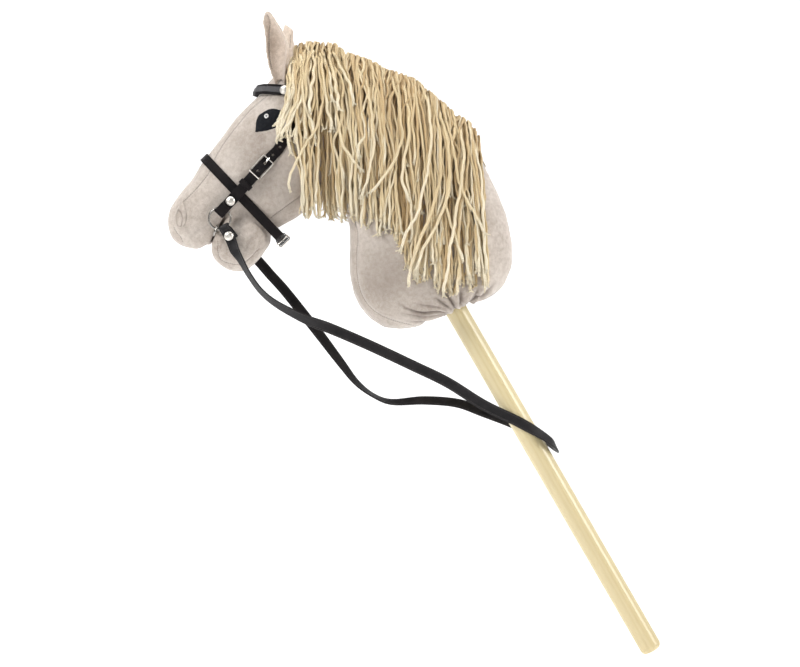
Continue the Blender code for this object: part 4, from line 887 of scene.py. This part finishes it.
def add_patch(kind, side, material, voxel, wave):
    """The felt eye and the raised nostril: the CAD patch with a softened edge."""
    patch = remeshed(f"{side}_{kind}_patch", f"{side}_{kind}", voxel, 3)
    points = points_of(patch)
    move = soft_noise(points, 0.004, 9) * wave * MM
    if kind == "eye":
        # Its back end lies higher, and its front end further forward, than the CAD patch's.
        points[:, 2] += 0.0022 * bell(away_from(points, 284, 112), 0.005)
        points[:, 0] -= 0.0023 * bell(away_from(points, 259.5, 119), 0.0085)
    else:
        x, z = spot(176.8, 218.5)
        ring = np.hypot((points[:, 0] - x) / 0.0047, (points[:, 2] - z) / 0.0095)
        outer = np.clip(np.abs(normals_of(patch)[:, 1]) * 2 - 0.4, 0, 1)
        outer *= (points[:, 1] * (-1 if side == "near" else 1) > np.abs(points[:, 1]).mean())
        move += 0.0008 + outer * (-0.0026 * np.exp(-(ring**3)) + 0.0008 * bell(ring - 1.5, 0.4))
        # Painted shade where the hollow falls away from the nostril's rim.
        note(patch, "fold", 0.9 * outer * bell(ring - 1.05, 0.2))
    push(patch, move, points)
    complete(patch, material, "horse", "felt" if kind == "eye" else "velour", f"{side}_{kind}")


for side in ("near", "far"):
    add_ear(side)
    add_patch("eye", side, felt, 0.0006, 0.12)
    add_patch("nostril", side, velour_material(f"{side}_nostril_velour"), 0.0007, 0.1)


LIGHT_RING, LIGHT_THREAD, LIGHT_MIDDLE = 0.0019, 0.00075, 0.0013  # radii


def add_eye_light(side):
    """The small stitched highlight: a ring of white thread round a grey middle."""
    eye = nodes[f"{side}_eye"]
    x, z = spot(266.2, 115.7, -48)
    way = 1 if side == "near" else -1
    place, normal, _, _ = tree_of(eye).ray_cast(Vector((x, -way, z)), Vector((0, way, 0)))
    turn = normal.to_track_quat("Z", "X").to_euler()
    deselect()
    bpy.ops.mesh.primitive_torus_add(
        location=place + normal * 0.0002, rotation=turn, major_radius=LIGHT_RING,
        minor_radius=LIGHT_THREAD, major_segments=28, minor_segments=10
    )
    ring = bpy.context.object
    bpy.ops.mesh.primitive_uv_sphere_add(
        location=place, rotation=turn, segments=16, ring_count=8, radius=LIGHT_MIDDLE
    )
    bpy.ops.transform.resize(value=(1, 1, 0.6), orient_type="LOCAL")
    middle = bpy.context.object
    for name, piece, material in (("ring", ring, thread_white), ("middle", middle, thread_grey)):
        piece.name = f"{side}_eye_light_{name}"
        pick(piece)
        bpy.ops.object.transform_apply()
        push(piece, soft_noise(points_of(piece), 0.0012, 5) * 0.0001)
        complete(piece, material, "horse", "felt")


for side in ("near", "far"):
    add_eye_light(side)


# The bridle

BURNISHED = 0.00035  # how far in from a strap's cut edge it is rounded


def add_strap(name, source):
    """A bridle strap: the CAD strap with its cut edges rounded over, as burnished leather has them."""
    strap = copy_of(name, source)
    pick(strap)
    over_all(bpy.ops.mesh.dissolve_limited, angle_limit=math.radians(1.0))
    finish_with(strap, "BEVEL", width=BURNISHED, segments=2, limit_method="ANGLE",
                angle_limit=math.radians(50), use_clamp_overlap=True)
    dress(strap, leather)
    bpy.ops.object.shade_smooth_by_angle(angle=math.radians(40))
    settle(strap, nodes[source]["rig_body"], "leather", source)


for name in ("crownpiece", "noseband", "noseband_keeper"):
    add_strap(f"leather_{name}", name)
for name, source in (("cheekpiece", "cheekpiece"), ("keeper", "cheek_keeper")):
    for side in ("near", "far"):
        add_strap(f"{side}_leather_{name}", f"{side}_{source}")


BAND_LEAN = math.radians(25)  # how far the browband's front leans back
BAND_MIDDLE = (-0.410, 0, 0.6335)
STITCH_ROW = 0.0044  # how far its rows of stitches lie from its middle line
STITCH = 0.00042  # half a stitch's width
PADDING, PADDED, GROOVE = 0.9, 0.0036, 0.25  # its height in millimetres, half its width, the stitches' groove


def add_browband():
    """The browband: its middle is padded, between two rows of stitches."""
    band = remeshed("leather_browband", "browband", 0.0005, 3)
    middle, up = Vector(BAND_MIDDLE), Vector((0, 0, 1))
    points = points_of(band)
    out = points - np.array(middle)
    out[:, 2] = 0
    out /= np.linalg.norm(out, axis=1, keepdims=True)
    lean = BAND_LEAN * out[:, 0] ** 2
    across = (points[:, 2] - middle.z - 0.0018 * np.sin(lean)) / np.cos(lean)
    faced = np.clip((normals_of(band) * out).sum(axis=1) * 2 - 0.8, 0, 1)
    padding = PADDING * np.clip((PADDED - np.abs(across)) / 0.0008, 0, 1) ** 0.7
    groove = -GROOVE * bell(np.abs(across) - STITCH_ROW, 0.0005)
    push(band, (padding + groove) * faced * MM)
    # The padded middle, where the material paints a grey sheen.
    note(band, "pad", np.clip((0.0034 - np.abs(across)) / 0.0006, 0, 1) * faced)
    complete(band, padded_leather, "horse", "leather", "browband")
    tree = tree_of(band)
    deselect()
    bpy.ops.mesh.primitive_uv_sphere_add(segments=6, ring_count=4, radius=STITCH)
    bpy.ops.transform.resize(value=(1, 2.6, 1))
    bpy.ops.object.transform_apply()
    stitch = bpy.context.object
    shape = points_of(stitch)
    faces = [tuple(face.vertices) for face in stitch.data.polygons]
    points, every = [], []
    for row in (-STITCH_ROW, STITCH_ROW):
        for angle in np.radians(np.arange(-88, 88.1, 3.2)):
            out = Vector((-math.cos(angle), math.sin(angle), 0))
            lean = BAND_LEAN * math.cos(angle) ** 2
            faced = out * math.cos(lean) + up * math.sin(lean)
            foot = middle + (up * math.cos(lean) - out * math.sin(lean)) * row
            hit, normal, _, _ = tree.ray_cast(foot + faced * 0.2, -faced, 0.2)
            if hit is None:
                continue
            along = normal.cross(normal.cross(up).cross(normal)).normalized()
            side = along.cross(normal)
            start = len(points)
            points += [hit + side * x + along * y + normal * (z + 0.0001) for x, y, z in shape]
            every += [tuple(start + corner for corner in face) for face in faces]
    bpy.data.objects.remove(stitch)
    stitches = mesh_piece("browband_stitches", points, every, thread_black)
    # At the forehead the band stands further forward and higher than the CAD band.
    for piece in (band, stitches):
        points = points_of(piece)
        front = np.clip((-0.418 - points[:, 0]) / 0.025, 0, 1)
        points[:, 0] += 0.0026 * front
        points[:, 2] += 0.0022 * front
        set_points(piece, points)
    settle(stitches, "horse", "leather")


add_browband()

# Painted shadow: the cheek buckles' prongs are dark where they would shine through the strap's next hole,
# where only shadow shows.
under_hole = [(-0.4462, way * 0.0460, 0.5427) for way in (-1, 1)]
prong_nickel = nickel_material("prong_nickel", 0.16, under_hole)
WIRE_GROWTH = 0.0002  # what the rounder section of the bit's wire needs to be as thick as the CAD wire
FINISHES = {
    "stick": pine_material(),
    "near_cheek_buckle_prong": prong_nickel,
    "far_cheek_buckle_prong": prong_nickel,
    "mane_tape": cloth_material("mane_tape_weave", (0.48, 0.40, 0.27), (0.68, 0.60, 0.44)),
    "gathering_cord": cloth_material("gathering_cord_ply", (0.55, 0.50, 0.43), (0.78, 0.74, 0.66)),
}
for name, piece in list(nodes.items()):
    if name.endswith("bit_ring") or name == "bit_mouthpiece":
        wire = copy_of(f"{name}_wire", name)
        finish_with(wire, "SUBSURF", levels=1, render_levels=1)
        push(wire, WIRE_GROWTH)
        complete(wire, wire_nickel, piece["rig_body"], "nickel", name)
    elif name in FINISHES:
        dress(piece, FINISHES[name])
    elif piece.data.materials and piece.data.materials[0].name.startswith("nickel"):
        dress(piece, stud_nickel if name.endswith("stud") else nickel)


# The mane

# Rows turn over the crest about a line this far below the mane's top, then drop straight down.
CREST = 0.038
TURNS = [math.radians(angle) for angle in range(-24, 91, 6)]
DROP_STEP = 0.005
DROPS = 62
COLUMN_STEP = 0.003
REACH = 0.3  # how far out the rays start
DRAPE = 0.0012  # how much nearer in each row may lie than the one above it
LEAST_DEPTH, MOST_DEPTH = 0.0035, 0.016  # of the mane over what it hangs on


class Flank:
    """The near flank that the yarn hangs on: rows over the crest and down, columns along the horse."""

    def __init__(self, tree, mane, start, end):
        """Finds how far out the surface under the yarn lies, and how deep the CAD mane is over it."""
        self.columns = np.arange(start, end, COLUMN_STEP)
        rows = len(TURNS) + DROPS
        size = (len(self.columns), rows)
        self.ways, feet = np.zeros((*size, 3)), np.zeros((*size, 3))
        self.crest = np.zeros(len(self.columns))
        reaches, outer = np.zeros(size), np.full(size, np.nan)
        for column, x in enumerate(self.columns):
            hit = tree.ray_cast(Vector((x, 0, 1)), Vector((0, 0, -1)), 1)[0]
            top = hit.z if hit else 0.5
            self.crest[column] = top - CREST
            for row in range(rows):
                turn = TURNS[min(row, len(TURNS) - 1)]
                drop = max(0, row - len(TURNS) + 1) * DROP_STEP
                way = Vector((0, -math.sin(turn), math.cos(turn)))
                foot = Vector((x, 0, top - CREST - drop))
                far = foot + way * REACH
                hit = tree.ray_cast(far, -way, REACH)[0]
                reaches[column, row] = (hit - foot).length if hit else 0.0
                hit = mane.ray_cast(far, -way, REACH)[0]
                if hit:
                    outer[column, row] = (hit - foot).length
                feet[column, row], self.ways[column, row] = foot, way
        for _ in range(3):
            padded = np.pad(reaches, 1, mode="edge")
            around = [padded[i : i + size[0], j : j + rows] for i in range(3) for j in range(3)]
            reaches = np.maximum(reaches, np.mean(around, axis=0))
        below = reaches[:, len(TURNS) :]
        for row in range(1, below.shape[1]):
            below[:, row] = np.maximum(below[:, row], below[:, row - 1] - DRAPE)
        self.places = feet + self.ways * reaches[:, :, None]
        self.depth = np.zeros(size)
        for row in range(rows):
            known = ~np.isnan(outer[:, row])
            if known.any():
                deep = (outer[:, row] - reaches[:, row])[known]
                self.depth[:, row] = np.interp(self.columns, self.columns[known], deep)
            else:
                self.depth[:, row] = self.depth[:, row - 1]
        self.depth = np.clip(self.depth, LEAST_DEPTH, MOST_DEPTH)

    def row_of(self, x, z):
        """The row where the flank at this x is as low as z."""
        crest = np.interp(x, self.columns, self.crest)
        return len(TURNS) - 1 + (crest - z) / DROP_STEP

    def at(self, x, row, share, rise=0.0):
        """The place at x and this row, at this share of the mane's depth and this much above it."""
        column = np.clip((x - self.columns[0]) / COLUMN_STEP, 0, len(self.columns) - 1.001)
        row = np.clip(row, 0, self.places.shape[1] - 1.001)
        i, j = int(column), int(row)
        u, v = column - i, row - j
        result = np.zeros(3)
        for a, b, weight in ((i, j, (1 - u) * (1 - v)), (i + 1, j, u * (1 - v)),
                             (i, j + 1, (1 - u) * v), (i + 1, j + 1, u * v)):
            result += weight * (self.places[a, b] + (share * self.depth[a, b] + rise) * self.ways[a, b])
        result[0] = x
        return result


STRAND_SIDES = 6
STRAND_RINGS = 40
FRAY = 0.0042  # how long the loose fibres at a strand's end are
CRIMP, CRIMP_LENGTH = 0.00045, (0.013, 0.024)  # how far a strand's small waves go, and their length


class Yarn:
    """Collects strands into one mesh."""

    def __init__(self):
        self.points, self.faces, self.uvs, self.tones_and_shades = [], [], [], []

    def tube(self, rows, radii, tones_and_shades, sides, phase):
        """A closed round strand: a ring of points at each row."""
        start = len(self.points)
        forward = np.gradient(rows, axis=0)
        forward /= np.linalg.norm(forward, axis=1, keepdims=True)
        side = np.cross(forward[0], [0.3, 1.0, 0.1])
        runs = run_of(rows) * 100
        for place, way, radius, tone_and_shade in zip(rows, forward, radii, tones_and_shades):
            side = side - way * side.dot(way)
            side /= np.linalg.norm(side)
            other = np.cross(way, side)
            for corner in range(sides):
                angle = 2 * math.pi * corner / sides
                ray = side * math.cos(angle) + other * math.sin(angle)
                self.points.append(place + ray * radius)
                # Painted light and shade: lighter on the strand's outer side, darker on the side towards the
                # flank.
                self.tones_and_shades.append(min(1.0, max(0.0, tone_and_shade - 0.14 * ray[1] - 0.06)))
        faces, uvs = tube_faces(start, sides, runs, [corner / sides + phase for corner in range(sides + 1)])
        last = start + (len(rows) - 1) * sides
        ends = [tuple(reversed(range(start, start + sides))), tuple(range(last, last + sides))]
        self.faces += faces + ends
        self.uvs += uvs + [(0, 0)] * (2 * sides)

    def strand(self, path, radius, tone_and_shade, dice):
        """A strand of yarn, with a few loose fibres at its end."""
        rows = smoothed(path, STRAND_RINGS)
        phase = dice.random()
        shares = np.linspace(0, 1, STRAND_RINGS)
        waves = np.linalg.norm(np.diff(rows, axis=0), axis=1).sum() / dice.uniform(*CRIMP_LENGTH)
        for axis in (0, 1):
            crimp = np.sin(2 * math.pi * (waves * shares + dice.random()))
            rows[:, axis] += CRIMP * np.minimum(1, 6 * shares) * crimp
        radii = radius * (1 + 0.06 * np.sin(np.arange(STRAND_RINGS) * 2.1 + phase * 6))
        radii[-1] *= 1.1
        # Lighter towards the end: the frayed end's paler fibre, and painted light where the strand hangs free
        # of the mane's shade.
        tones_and_shades = tone_and_shade + 0.62 * np.maximum(0, shares - 0.55) + 0.12 * (shares > 0.93)
        self.tube(rows, radii, tones_and_shades, STRAND_SIDES, phase)
        end, way = rows[-1], rows[-1] - rows[-2]
        way = way / np.linalg.norm(way)
        for _ in range(dice.choice((2, 3, 4))):
            spread = np.array([dice.gauss(0, 0.46), -abs(dice.gauss(0, 0.2)), dice.gauss(0, 0.2)])
            long = FRAY * dice.uniform(0.6, 1.3)
            fibre = [end - way * 0.0018, end + (way + 0.4 * spread) * long * 0.5, end + (way + spread) * long]
            self.tube(np.array(fibre), np.array([0.75, 0.7, 0.45]) * radius, [tones_and_shades[-1] + 0.25] * 3, 4, phase)

    def piece(self, name, *replaced):
        hair = mesh_piece(name, self.points, self.faces, yarn, self.uvs)
        note(hair, "tone_and_shade", self.tones_and_shades)
        settle(hair, "horse", "yarn", *replaced)


MANE_FRONT, MANE_BACK = -0.4095, -0.1955
# The yarn is sewn on in hanks, which meet at these places along the crest.
HANKS = [-0.4115, -0.350, -0.3045, -0.2590, -0.2240, -0.1935]
YARN_RADIUS = 0.00148
YARN_DEPTH = -60  # where the yarn lies in y, in millimetres
# A lock: the share of the mane that it takes up, how far its end leans aside and rises over the mane's
# lower edge, and how wide it ends for its width at the crest
LOCK_SHARE, LOCK_LEAN, LOCK_RISE, LOCK_END = (0.028, 0.058), 0.0048, (0.004, 0.011), 0.62
STRAY, SHORTER = (0.007, 0.020), (0.012, 0.12)  # how far aside a stray one ends, and up a short one
PATH_STEPS = 35
# A strand's path: how far it sways in slow and quick waves, is drawn in at its root, fans out over the
# crest, humps up there, and starts below the surface
SLOW_SWAY, QUICK_SWAY, DRAWN_IN, FAN, HUMP, SUNK = 0.0034, 0.0015, 0.0030, 0.0050, 0.0022, 0.0035
# How much the mane's top stands above its even depth, by the photograph: pixels across, millimetres
CREST_RISE = [
    (288, 4), (300, 6.5), (312, 7.5), (318, 5.5), (336, 5.5), (339, 1), (345, -1), (354, -3.5), (372, -4.5),
    (390, -5), (400, -3), (408, -2), (414, 1.5), (426, 0), (438, -3), (450, -4), (463, 0), (473, 4),
    (480, 5), (486, 0),
]
# The mane's lower edge, by pixels of the photograph
LOWER_EDGE = [
    (297, 210), (310, 213), (321, 214), (343, 216), (352, 218), (360, 225), (375, 232), (392, 233),
    (401, 246), (409, 274), (417, 277), (436, 287), (443, 292), (456, 291), (472, 280), (488, 283),
]


def crest_rise(x, row):
    """The mane's extra height at x, which is lost again a little way down from the crest."""
    pixel = MIDDLE_X + (x / MM - VIEW_X) / MANE_PIXEL
    place, height = zip(*CREST_RISE)
    return np.interp(pixel, place, height) * MM * min(1, max(0, (17 - row) / 9))


def lock_path(flank, root, end_x, end_row, share, hank, dice):
    """A strand's path: up out of its hank, fanned out over the crest, then down in slack waves."""
    low, high = hank
    aside = (2 * root - low - high) / (high - low)
    slow, quick = dice.gauss(0, SLOW_SWAY), dice.gauss(0, QUICK_SWAY)
    slow_waves, quick_waves = dice.uniform(0.7, 1.6), dice.uniform(2.2, 5.0)
    turn, other_turn = dice.random() * 6.3, dice.random() * 6.3
    start_row = dice.uniform(-0.5, 1.2)
    path = []
    for t in np.arange(PATH_STEPS + 1) / PATH_STEPS:
        row = start_row + (end_row - start_row) * t
        ease = t * t * (3 - 2 * t)
        fan = FAN * aside * math.sin(math.pi * min(1, max(0, row) / 38))
        fan *= 0.2 if high == HANKS[-1] and aside > 0 else 1
        loose = min(1, 3.0 * t)
        x = root - DRAWN_IN * aside + fan + (end_x - root + DRAWN_IN * aside) * ease
        x += loose * slow * math.sin(slow_waves * 2 * math.pi * t + turn)
        x += loose * quick * math.sin(quick_waves * 2 * math.pi * t + other_turn)
        x = min(x, MANE_BACK - 0.0008 + 0.010 * t * t)
        emerged = min(1, max(0, (row - start_row) / 3.2)) ** 0.7
        hump = HUMP * (1 - 1.6 * aside * aside) * math.sin(math.pi * min(1, max(0, row) / 26))
        rise = -SUNK * (1 - emerged) + hump * emerged - 0.0016
        level = share + (0.92 - share) * (0.85 * max(0, 1 - max(0, row) / 10) if share > 0.3 else 0)
        rise += loose * 0.0010 * math.sin(turn + 9 * t) + level * emerged * crest_rise(x, row)
        path.append(flank.at(x, row, level * emerged, rise))
    return path


def mane_layer(flank, name, count, share, seed, shorter, stray, shade, *replaced):
    """One layer of yarn: its strands hang from the crest in locks, cross here and there and end unevenly."""
    dice = random.Random(seed)
    hair = Yarn()
    edge = np.array([spot(x, y, YARN_DEPTH) for x, y in LOWER_EDGE])
    first, last = edge[0][0] + 0.002, edge[-1][0] - 0.001
    bounds = [0.0]
    while bounds[-1] < 1:
        bounds.append(bounds[-1] + dice.uniform(*LOCK_SHARE))
    leans = [dice.gauss(0, LOCK_LEAN) for _ in bounds]
    rises = [dice.gauss(*LOCK_RISE) for _ in bounds]
    for index in range(count):
        along = (index + dice.uniform(0.1, 0.9)) / count
        root = MANE_FRONT + (MANE_BACK - MANE_FRONT) * along
        number = min(len(HANKS) - 2, sum(root > place for place in HANKS[1:]))
        lock = sum(along > bound for bound in bounds) - 1
        middle = (bounds[lock] + min(1.0, bounds[lock + 1])) / 2
        end_x = first + (last - first) * (middle + LOCK_END * (along - middle))
        end_x += leans[lock] + dice.gauss(0, 0.0022)
        if dice.random() < stray:
            end_x += dice.choice((-1, 1)) * dice.uniform(*STRAY)
        end_x = min(max(end_x, first - 0.003), last)
        end_z = np.interp(end_x, edge[:, 0], edge[:, 1]) + abs(dice.gauss(0, 0.008)) - 0.002
        end_z += max(0.0, rises[lock])
        if dice.random() < shorter:
            end_z += dice.uniform(*SHORTER)
        end_row = max(flank.row_of(end_x, end_z), len(TURNS) + 8)
        deep = share + dice.uniform(-0.07, 0.07)
        path = lock_path(flank, root, end_x, end_row, deep, HANKS[number : number + 2], dice)
        hair.strand(path, YARN_RADIUS * dice.uniform(0.86, 1.12), shade + 0.16 * dice.gauss(0, 1), dice)
    hair.piece(name, *replaced)


# The forelock's strands, each down its middle by pixels of the photograph
FORELOCK = [
    [(291.8, 44), (288.4, 57), (287.2, 69), (287.2, 81), (286.9, 92), (284.2, 105), (280.4, 114.5),
     (277.3, 121)],
    [(292.2, 45), (292.6, 53), (293, 65), (294.1, 76), (292.6, 87), (288.8, 99), (284.2, 111.5),
     (277.3, 126), (276, 131)],
    [(295.7, 42.6), (298.7, 53), (303, 62), (305, 70), (304.5, 84), (303, 93), (298.7, 104), (292.6, 117),
     (285, 128), (279.6, 135), (277, 139)],
    [(294, 46), (295.7, 58), (298, 64), (300.3, 70), (301.8, 78), (303.7, 85), (304, 92), (300.3, 102),
     (295.7, 111.5), (291, 119), (287.2, 128), (285.3, 134)],
    [(294.9, 43), (295.7, 61), (298, 74), (296.4, 85), (295.7, 96), (292.6, 108), (288, 118), (285.7, 128),
     (288, 137.5), (289.5, 151)],
    [(290, 46), (288.4, 59), (288.8, 72), (289.9, 84), (288, 96), (285, 109), (281.9, 117.6), (275.8, 124)],
    [(293, 44), (291, 58), (290.5, 74), (291.5, 86), (290, 98), (286, 112), (282, 123), (279, 136)],
    [(293.5, 45), (294, 60), (292.5, 75), (293, 88), (291, 102), (287, 114), (281, 128), (278.5, 138)],
    [(297, 44), (300, 60), (300.5, 76), (299, 90), (296, 104), (291, 114), (286, 126), (281.5, 137)],
    [(298, 44), (301, 60), (303, 78), (302, 94), (301, 106), (299, 118), (295.7, 129), (294, 133)],
    [(300, 44), (304, 60), (306.5, 78), (306, 96), (304, 110), (300, 122), (296, 131), (294.5, 139)],
    [(291, 46), (290, 60), (289.5, 76), (290, 90), (287.5, 104), (283, 117), (279, 127), (277.5, 134)],
]
# The mane's strands that lie over the rest, given the same way
OVERLAID = [
    [(316, 44), (318, 60), (320, 76), (321.7, 87), (323.2, 98), (320.9, 111.5), (315.6, 128), (308, 141),
     (300.3, 153), (294, 166), (289.6, 178), (288.6, 189)],
    [(311, 44), (312.5, 53), (314, 65), (313.3, 76), (311.7, 85), (310.2, 99), (309, 110.7)],
    [(327, 44), (328.5, 50), (330, 61), (333.2, 72), (335.4, 85), (337.7, 98), (338, 107.6)],
    [(321, 43), (322.4, 47), (325.5, 61), (329.3, 72), (330.9, 84), (331.6, 92), (332, 98.4)],
    [(319, 44), (321, 60), (323, 78), (325.5, 93), (327, 107), (330, 118), (331.6, 129)],
    [(329, 43), (335.4, 53), (340, 63), (344.6, 72), (350, 84), (353, 101)],
    [(303, 44), (303.5, 60), (302.5, 80), (303, 98), (305.5, 107), (309.4, 118), (314, 130), (315, 133)],
    [(358, 60), (366, 80), (370, 100), (372, 124), (374, 140), (372, 158), (368, 176), (362, 196)],
    [(392, 72), (398, 95), (401, 120), (402, 140), (398, 152), (390, 168), (380, 182), (371, 191)],
    [(404, 80), (408, 104), (409, 130), (406, 150), (402, 172), (404, 186), (408, 198)],
    [(440, 108), (446, 130), (449, 154), (450, 178), (444.5, 207), (433.4, 230), (422.3, 252), (416, 268)],
    [(446, 112), (451, 134), (455, 156), (457.4, 174), (464.8, 196), (476, 215), (485, 233)],
    [(455, 122), (452, 146), (450, 174), (446, 198), (449, 217), (455.6, 237), (462, 259)],
    [(476, 146), (481, 170), (483, 200), (484, 230), (485, 245), (486, 258), (487, 268)],
    [(462, 128), (464, 160), (460, 190), (455, 220), (450, 250), (446.4, 276), (443.6, 292)],
    [(468, 134), (468, 166), (462, 200), (458, 230), (459, 262), (457.4, 292)],
    [(436, 104), (440, 134), (441, 164), (437, 194), (428, 220), (418, 246), (411, 266), (409, 285)],
    [(428, 96), (431, 126), (430, 156), (424, 186), (417, 214), (405, 236), (401, 248)],
    [(330, 44), (333, 62), (336, 84), (337, 110), (340, 134), (346, 150), (359.5, 168)],
]


def traced_strands(flank, name, lines, share, shade, seed, *replaced):
    """Strands that follow given lines, from the crest down."""
    dice = random.Random(seed)
    hair = Yarn()
    for index, pixels in enumerate(lines):
        line = smoothed([photo(x, y, YARN_DEPTH) for x, y in pixels], 30) * MM
        turn = dice.random() * 6.3
        root = line[0][0]
        path = [flank.at(root, 0.5, 0, -0.003), flank.at(root, 2.5, 0.5 * share, 0.5 * crest_rise(root, 2))]
        above = (index % 3) * 0.0014 - 0.0008
        for step, (x, z) in enumerate(line):
            row = flank.row_of(x, z)
            if row > len(TURNS) - 9:
                x += 0.0006 * math.sin(step * 0.9 + turn)
                rise = above + 0.0008 * math.sin(step * 0.5 + turn) + share * crest_rise(x, row)
                path.append(flank.at(x, row, share, rise))
        if len(path) > 5:
            hair.strand(path, YARN_RADIUS * dice.uniform(1.02, 1.22), shade + 0.1 * dice.gauss(0, 1), dice)
    hair.piece(name, *replaced)


def add_mane():
    lower = ("crownpiece", "browband", "near_browband_stud", "near_eye", "near_cheekpiece", "mane_tape")
    under = tree_of(cover, *(nodes[name] for name in lower))
    flank = Flank(under, tree_of(nodes["mane"]), -0.445, -0.160)
    # Each layer: how many strands, how far out they lie, the seed, how many of them are short and stray,
    # and the tone, darker for the deeper layers and lighter for the strands on top, as painted shade and
    # light
    mane_layer(flank, "mane_yarn_under", 108, 0.14, 11, 0.0, 0.0, 0.14)
    mane_layer(flank, "mane_yarn_inner", 92, 0.40, 12, 0.15, 0.08, 0.28)
    mane_layer(flank, "mane_yarn_middle", 86, 0.70, 13, 0.38, 0.15, 0.42, "mane")
    mane_layer(flank, "mane_yarn_outer", 80, 0.98, 14, 0.58, 0.24, 0.54)
    traced_strands(flank, "mane_yarn_loose", OVERLAID, 1.08, 0.62, 15)
    traced_strands(flank, "forelock_yarn", FORELOCK, 0.75, 0.72, 31, "forelock")


add_mane()


# The floor and the light

FLOOR_FRONT, FLOOR_BACK, FLOOR_SIDE = -30.0, 5.0, 20.0
FLOOR_BEND, FLOOR_TOP = 1.2, 6.0
FLOOR_Z = -0.0066


def add_room():
    """A plain pale floor that curves up into a backdrop and glows as painted light, and soft light from above
    and in front.
    """
    rows = [(FLOOR_FRONT, 0.0), (FLOOR_BACK, 0.0)]
    for step in range(1, 13):
        angle = math.radians(90 * step / 12)
        rows.append((FLOOR_BACK + FLOOR_BEND * math.sin(angle), FLOOR_BEND - FLOOR_BEND * math.cos(angle)))
    rows.append((FLOOR_BACK + FLOOR_BEND, FLOOR_TOP))
    points = [(side * FLOOR_SIDE, y, z + FLOOR_Z) for y, z in rows for side in (-1, 1)]
    faces = [(row, row + 1, row + 3, row + 2) for row in range(0, len(points) - 2, 2)]
    material, tree = new_material(
        "glowing_pale_floor", Roughness=1.0, Base_Color=(0.8, 0.8, 0.8, 1), Specular_IOR_Level=0.0,
        Emission_Color=(1, 1, 1, 1)
    )
    # Painted light: the floor and backdrop glow, dim just in front of the horse, bright behind it, and again,
    # less brightly, far in front.
    back = parts_of(tree, node(tree, "ShaderNodeTexCoord").outputs["Object"])[1]
    glow = ramp(tree, maths(tree, "ADD", back, 1.0), (0.3, (0.05, 0.05, 0.05)), (0.8, (0.75, 0.75, 0.75)))
    in_front = maths(tree, "MULTIPLY_ADD", back, -0.3, -0.45, clamp=True)
    glow = maths(tree, "ADD", glow, maths(tree, "MINIMUM", in_front, 0.5))
    link(tree, glow, tree.nodes["Principled BSDF"].inputs["Emission Strength"])
    mesh_piece("studio_floor", points, faces, material)
    world = bpy.data.worlds.new("studio")
    world.use_nodes = True
    sky = world.node_tree
    sideways, _, upwards = parts_of(sky, node(sky, "ShaderNodeTexCoord").outputs["Generated"])
    above = maths(sky, "MULTIPLY_ADD", maths(sky, "MAXIMUM", upwards, 0.0), 0.15, 0.10)
    aside = maths(sky, "MULTIPLY_ADD", maths(sky, "ABSOLUTE", sideways), 0.10, above)
    background = sky.nodes["Background"]
    link(sky, aside, background.inputs["Strength"])
    background.inputs["Color"].default_value = (1, 1, 1, 1)
    bpy.context.scene.world = world
    for name, place, aim, size, power in (
        ("key", (-2.0, -1.3, 1.8), (-0.4, 0, 0.5), 0.9, 43),
        ("top", (-0.2, -0.3, 2.4), (-0.3, 0, 0.5), 1.3, 25),
        ("edge", (1.8, -0.8, 1.2), (-0.2, 0, 0.45), 1.1, 35),
    ):
        lamp = placed(name, bpy.data.lights.new(name, "AREA"))
        lamp.data.size = size
        lamp.data.energy = power
        lamp.location = place
        lamp.rotation_euler = (Vector(aim) - Vector(place)).to_track_quat("-Z", "Y").to_euler()
    bpy.context.scene.view_settings.view_transform = "Standard"


add_room()
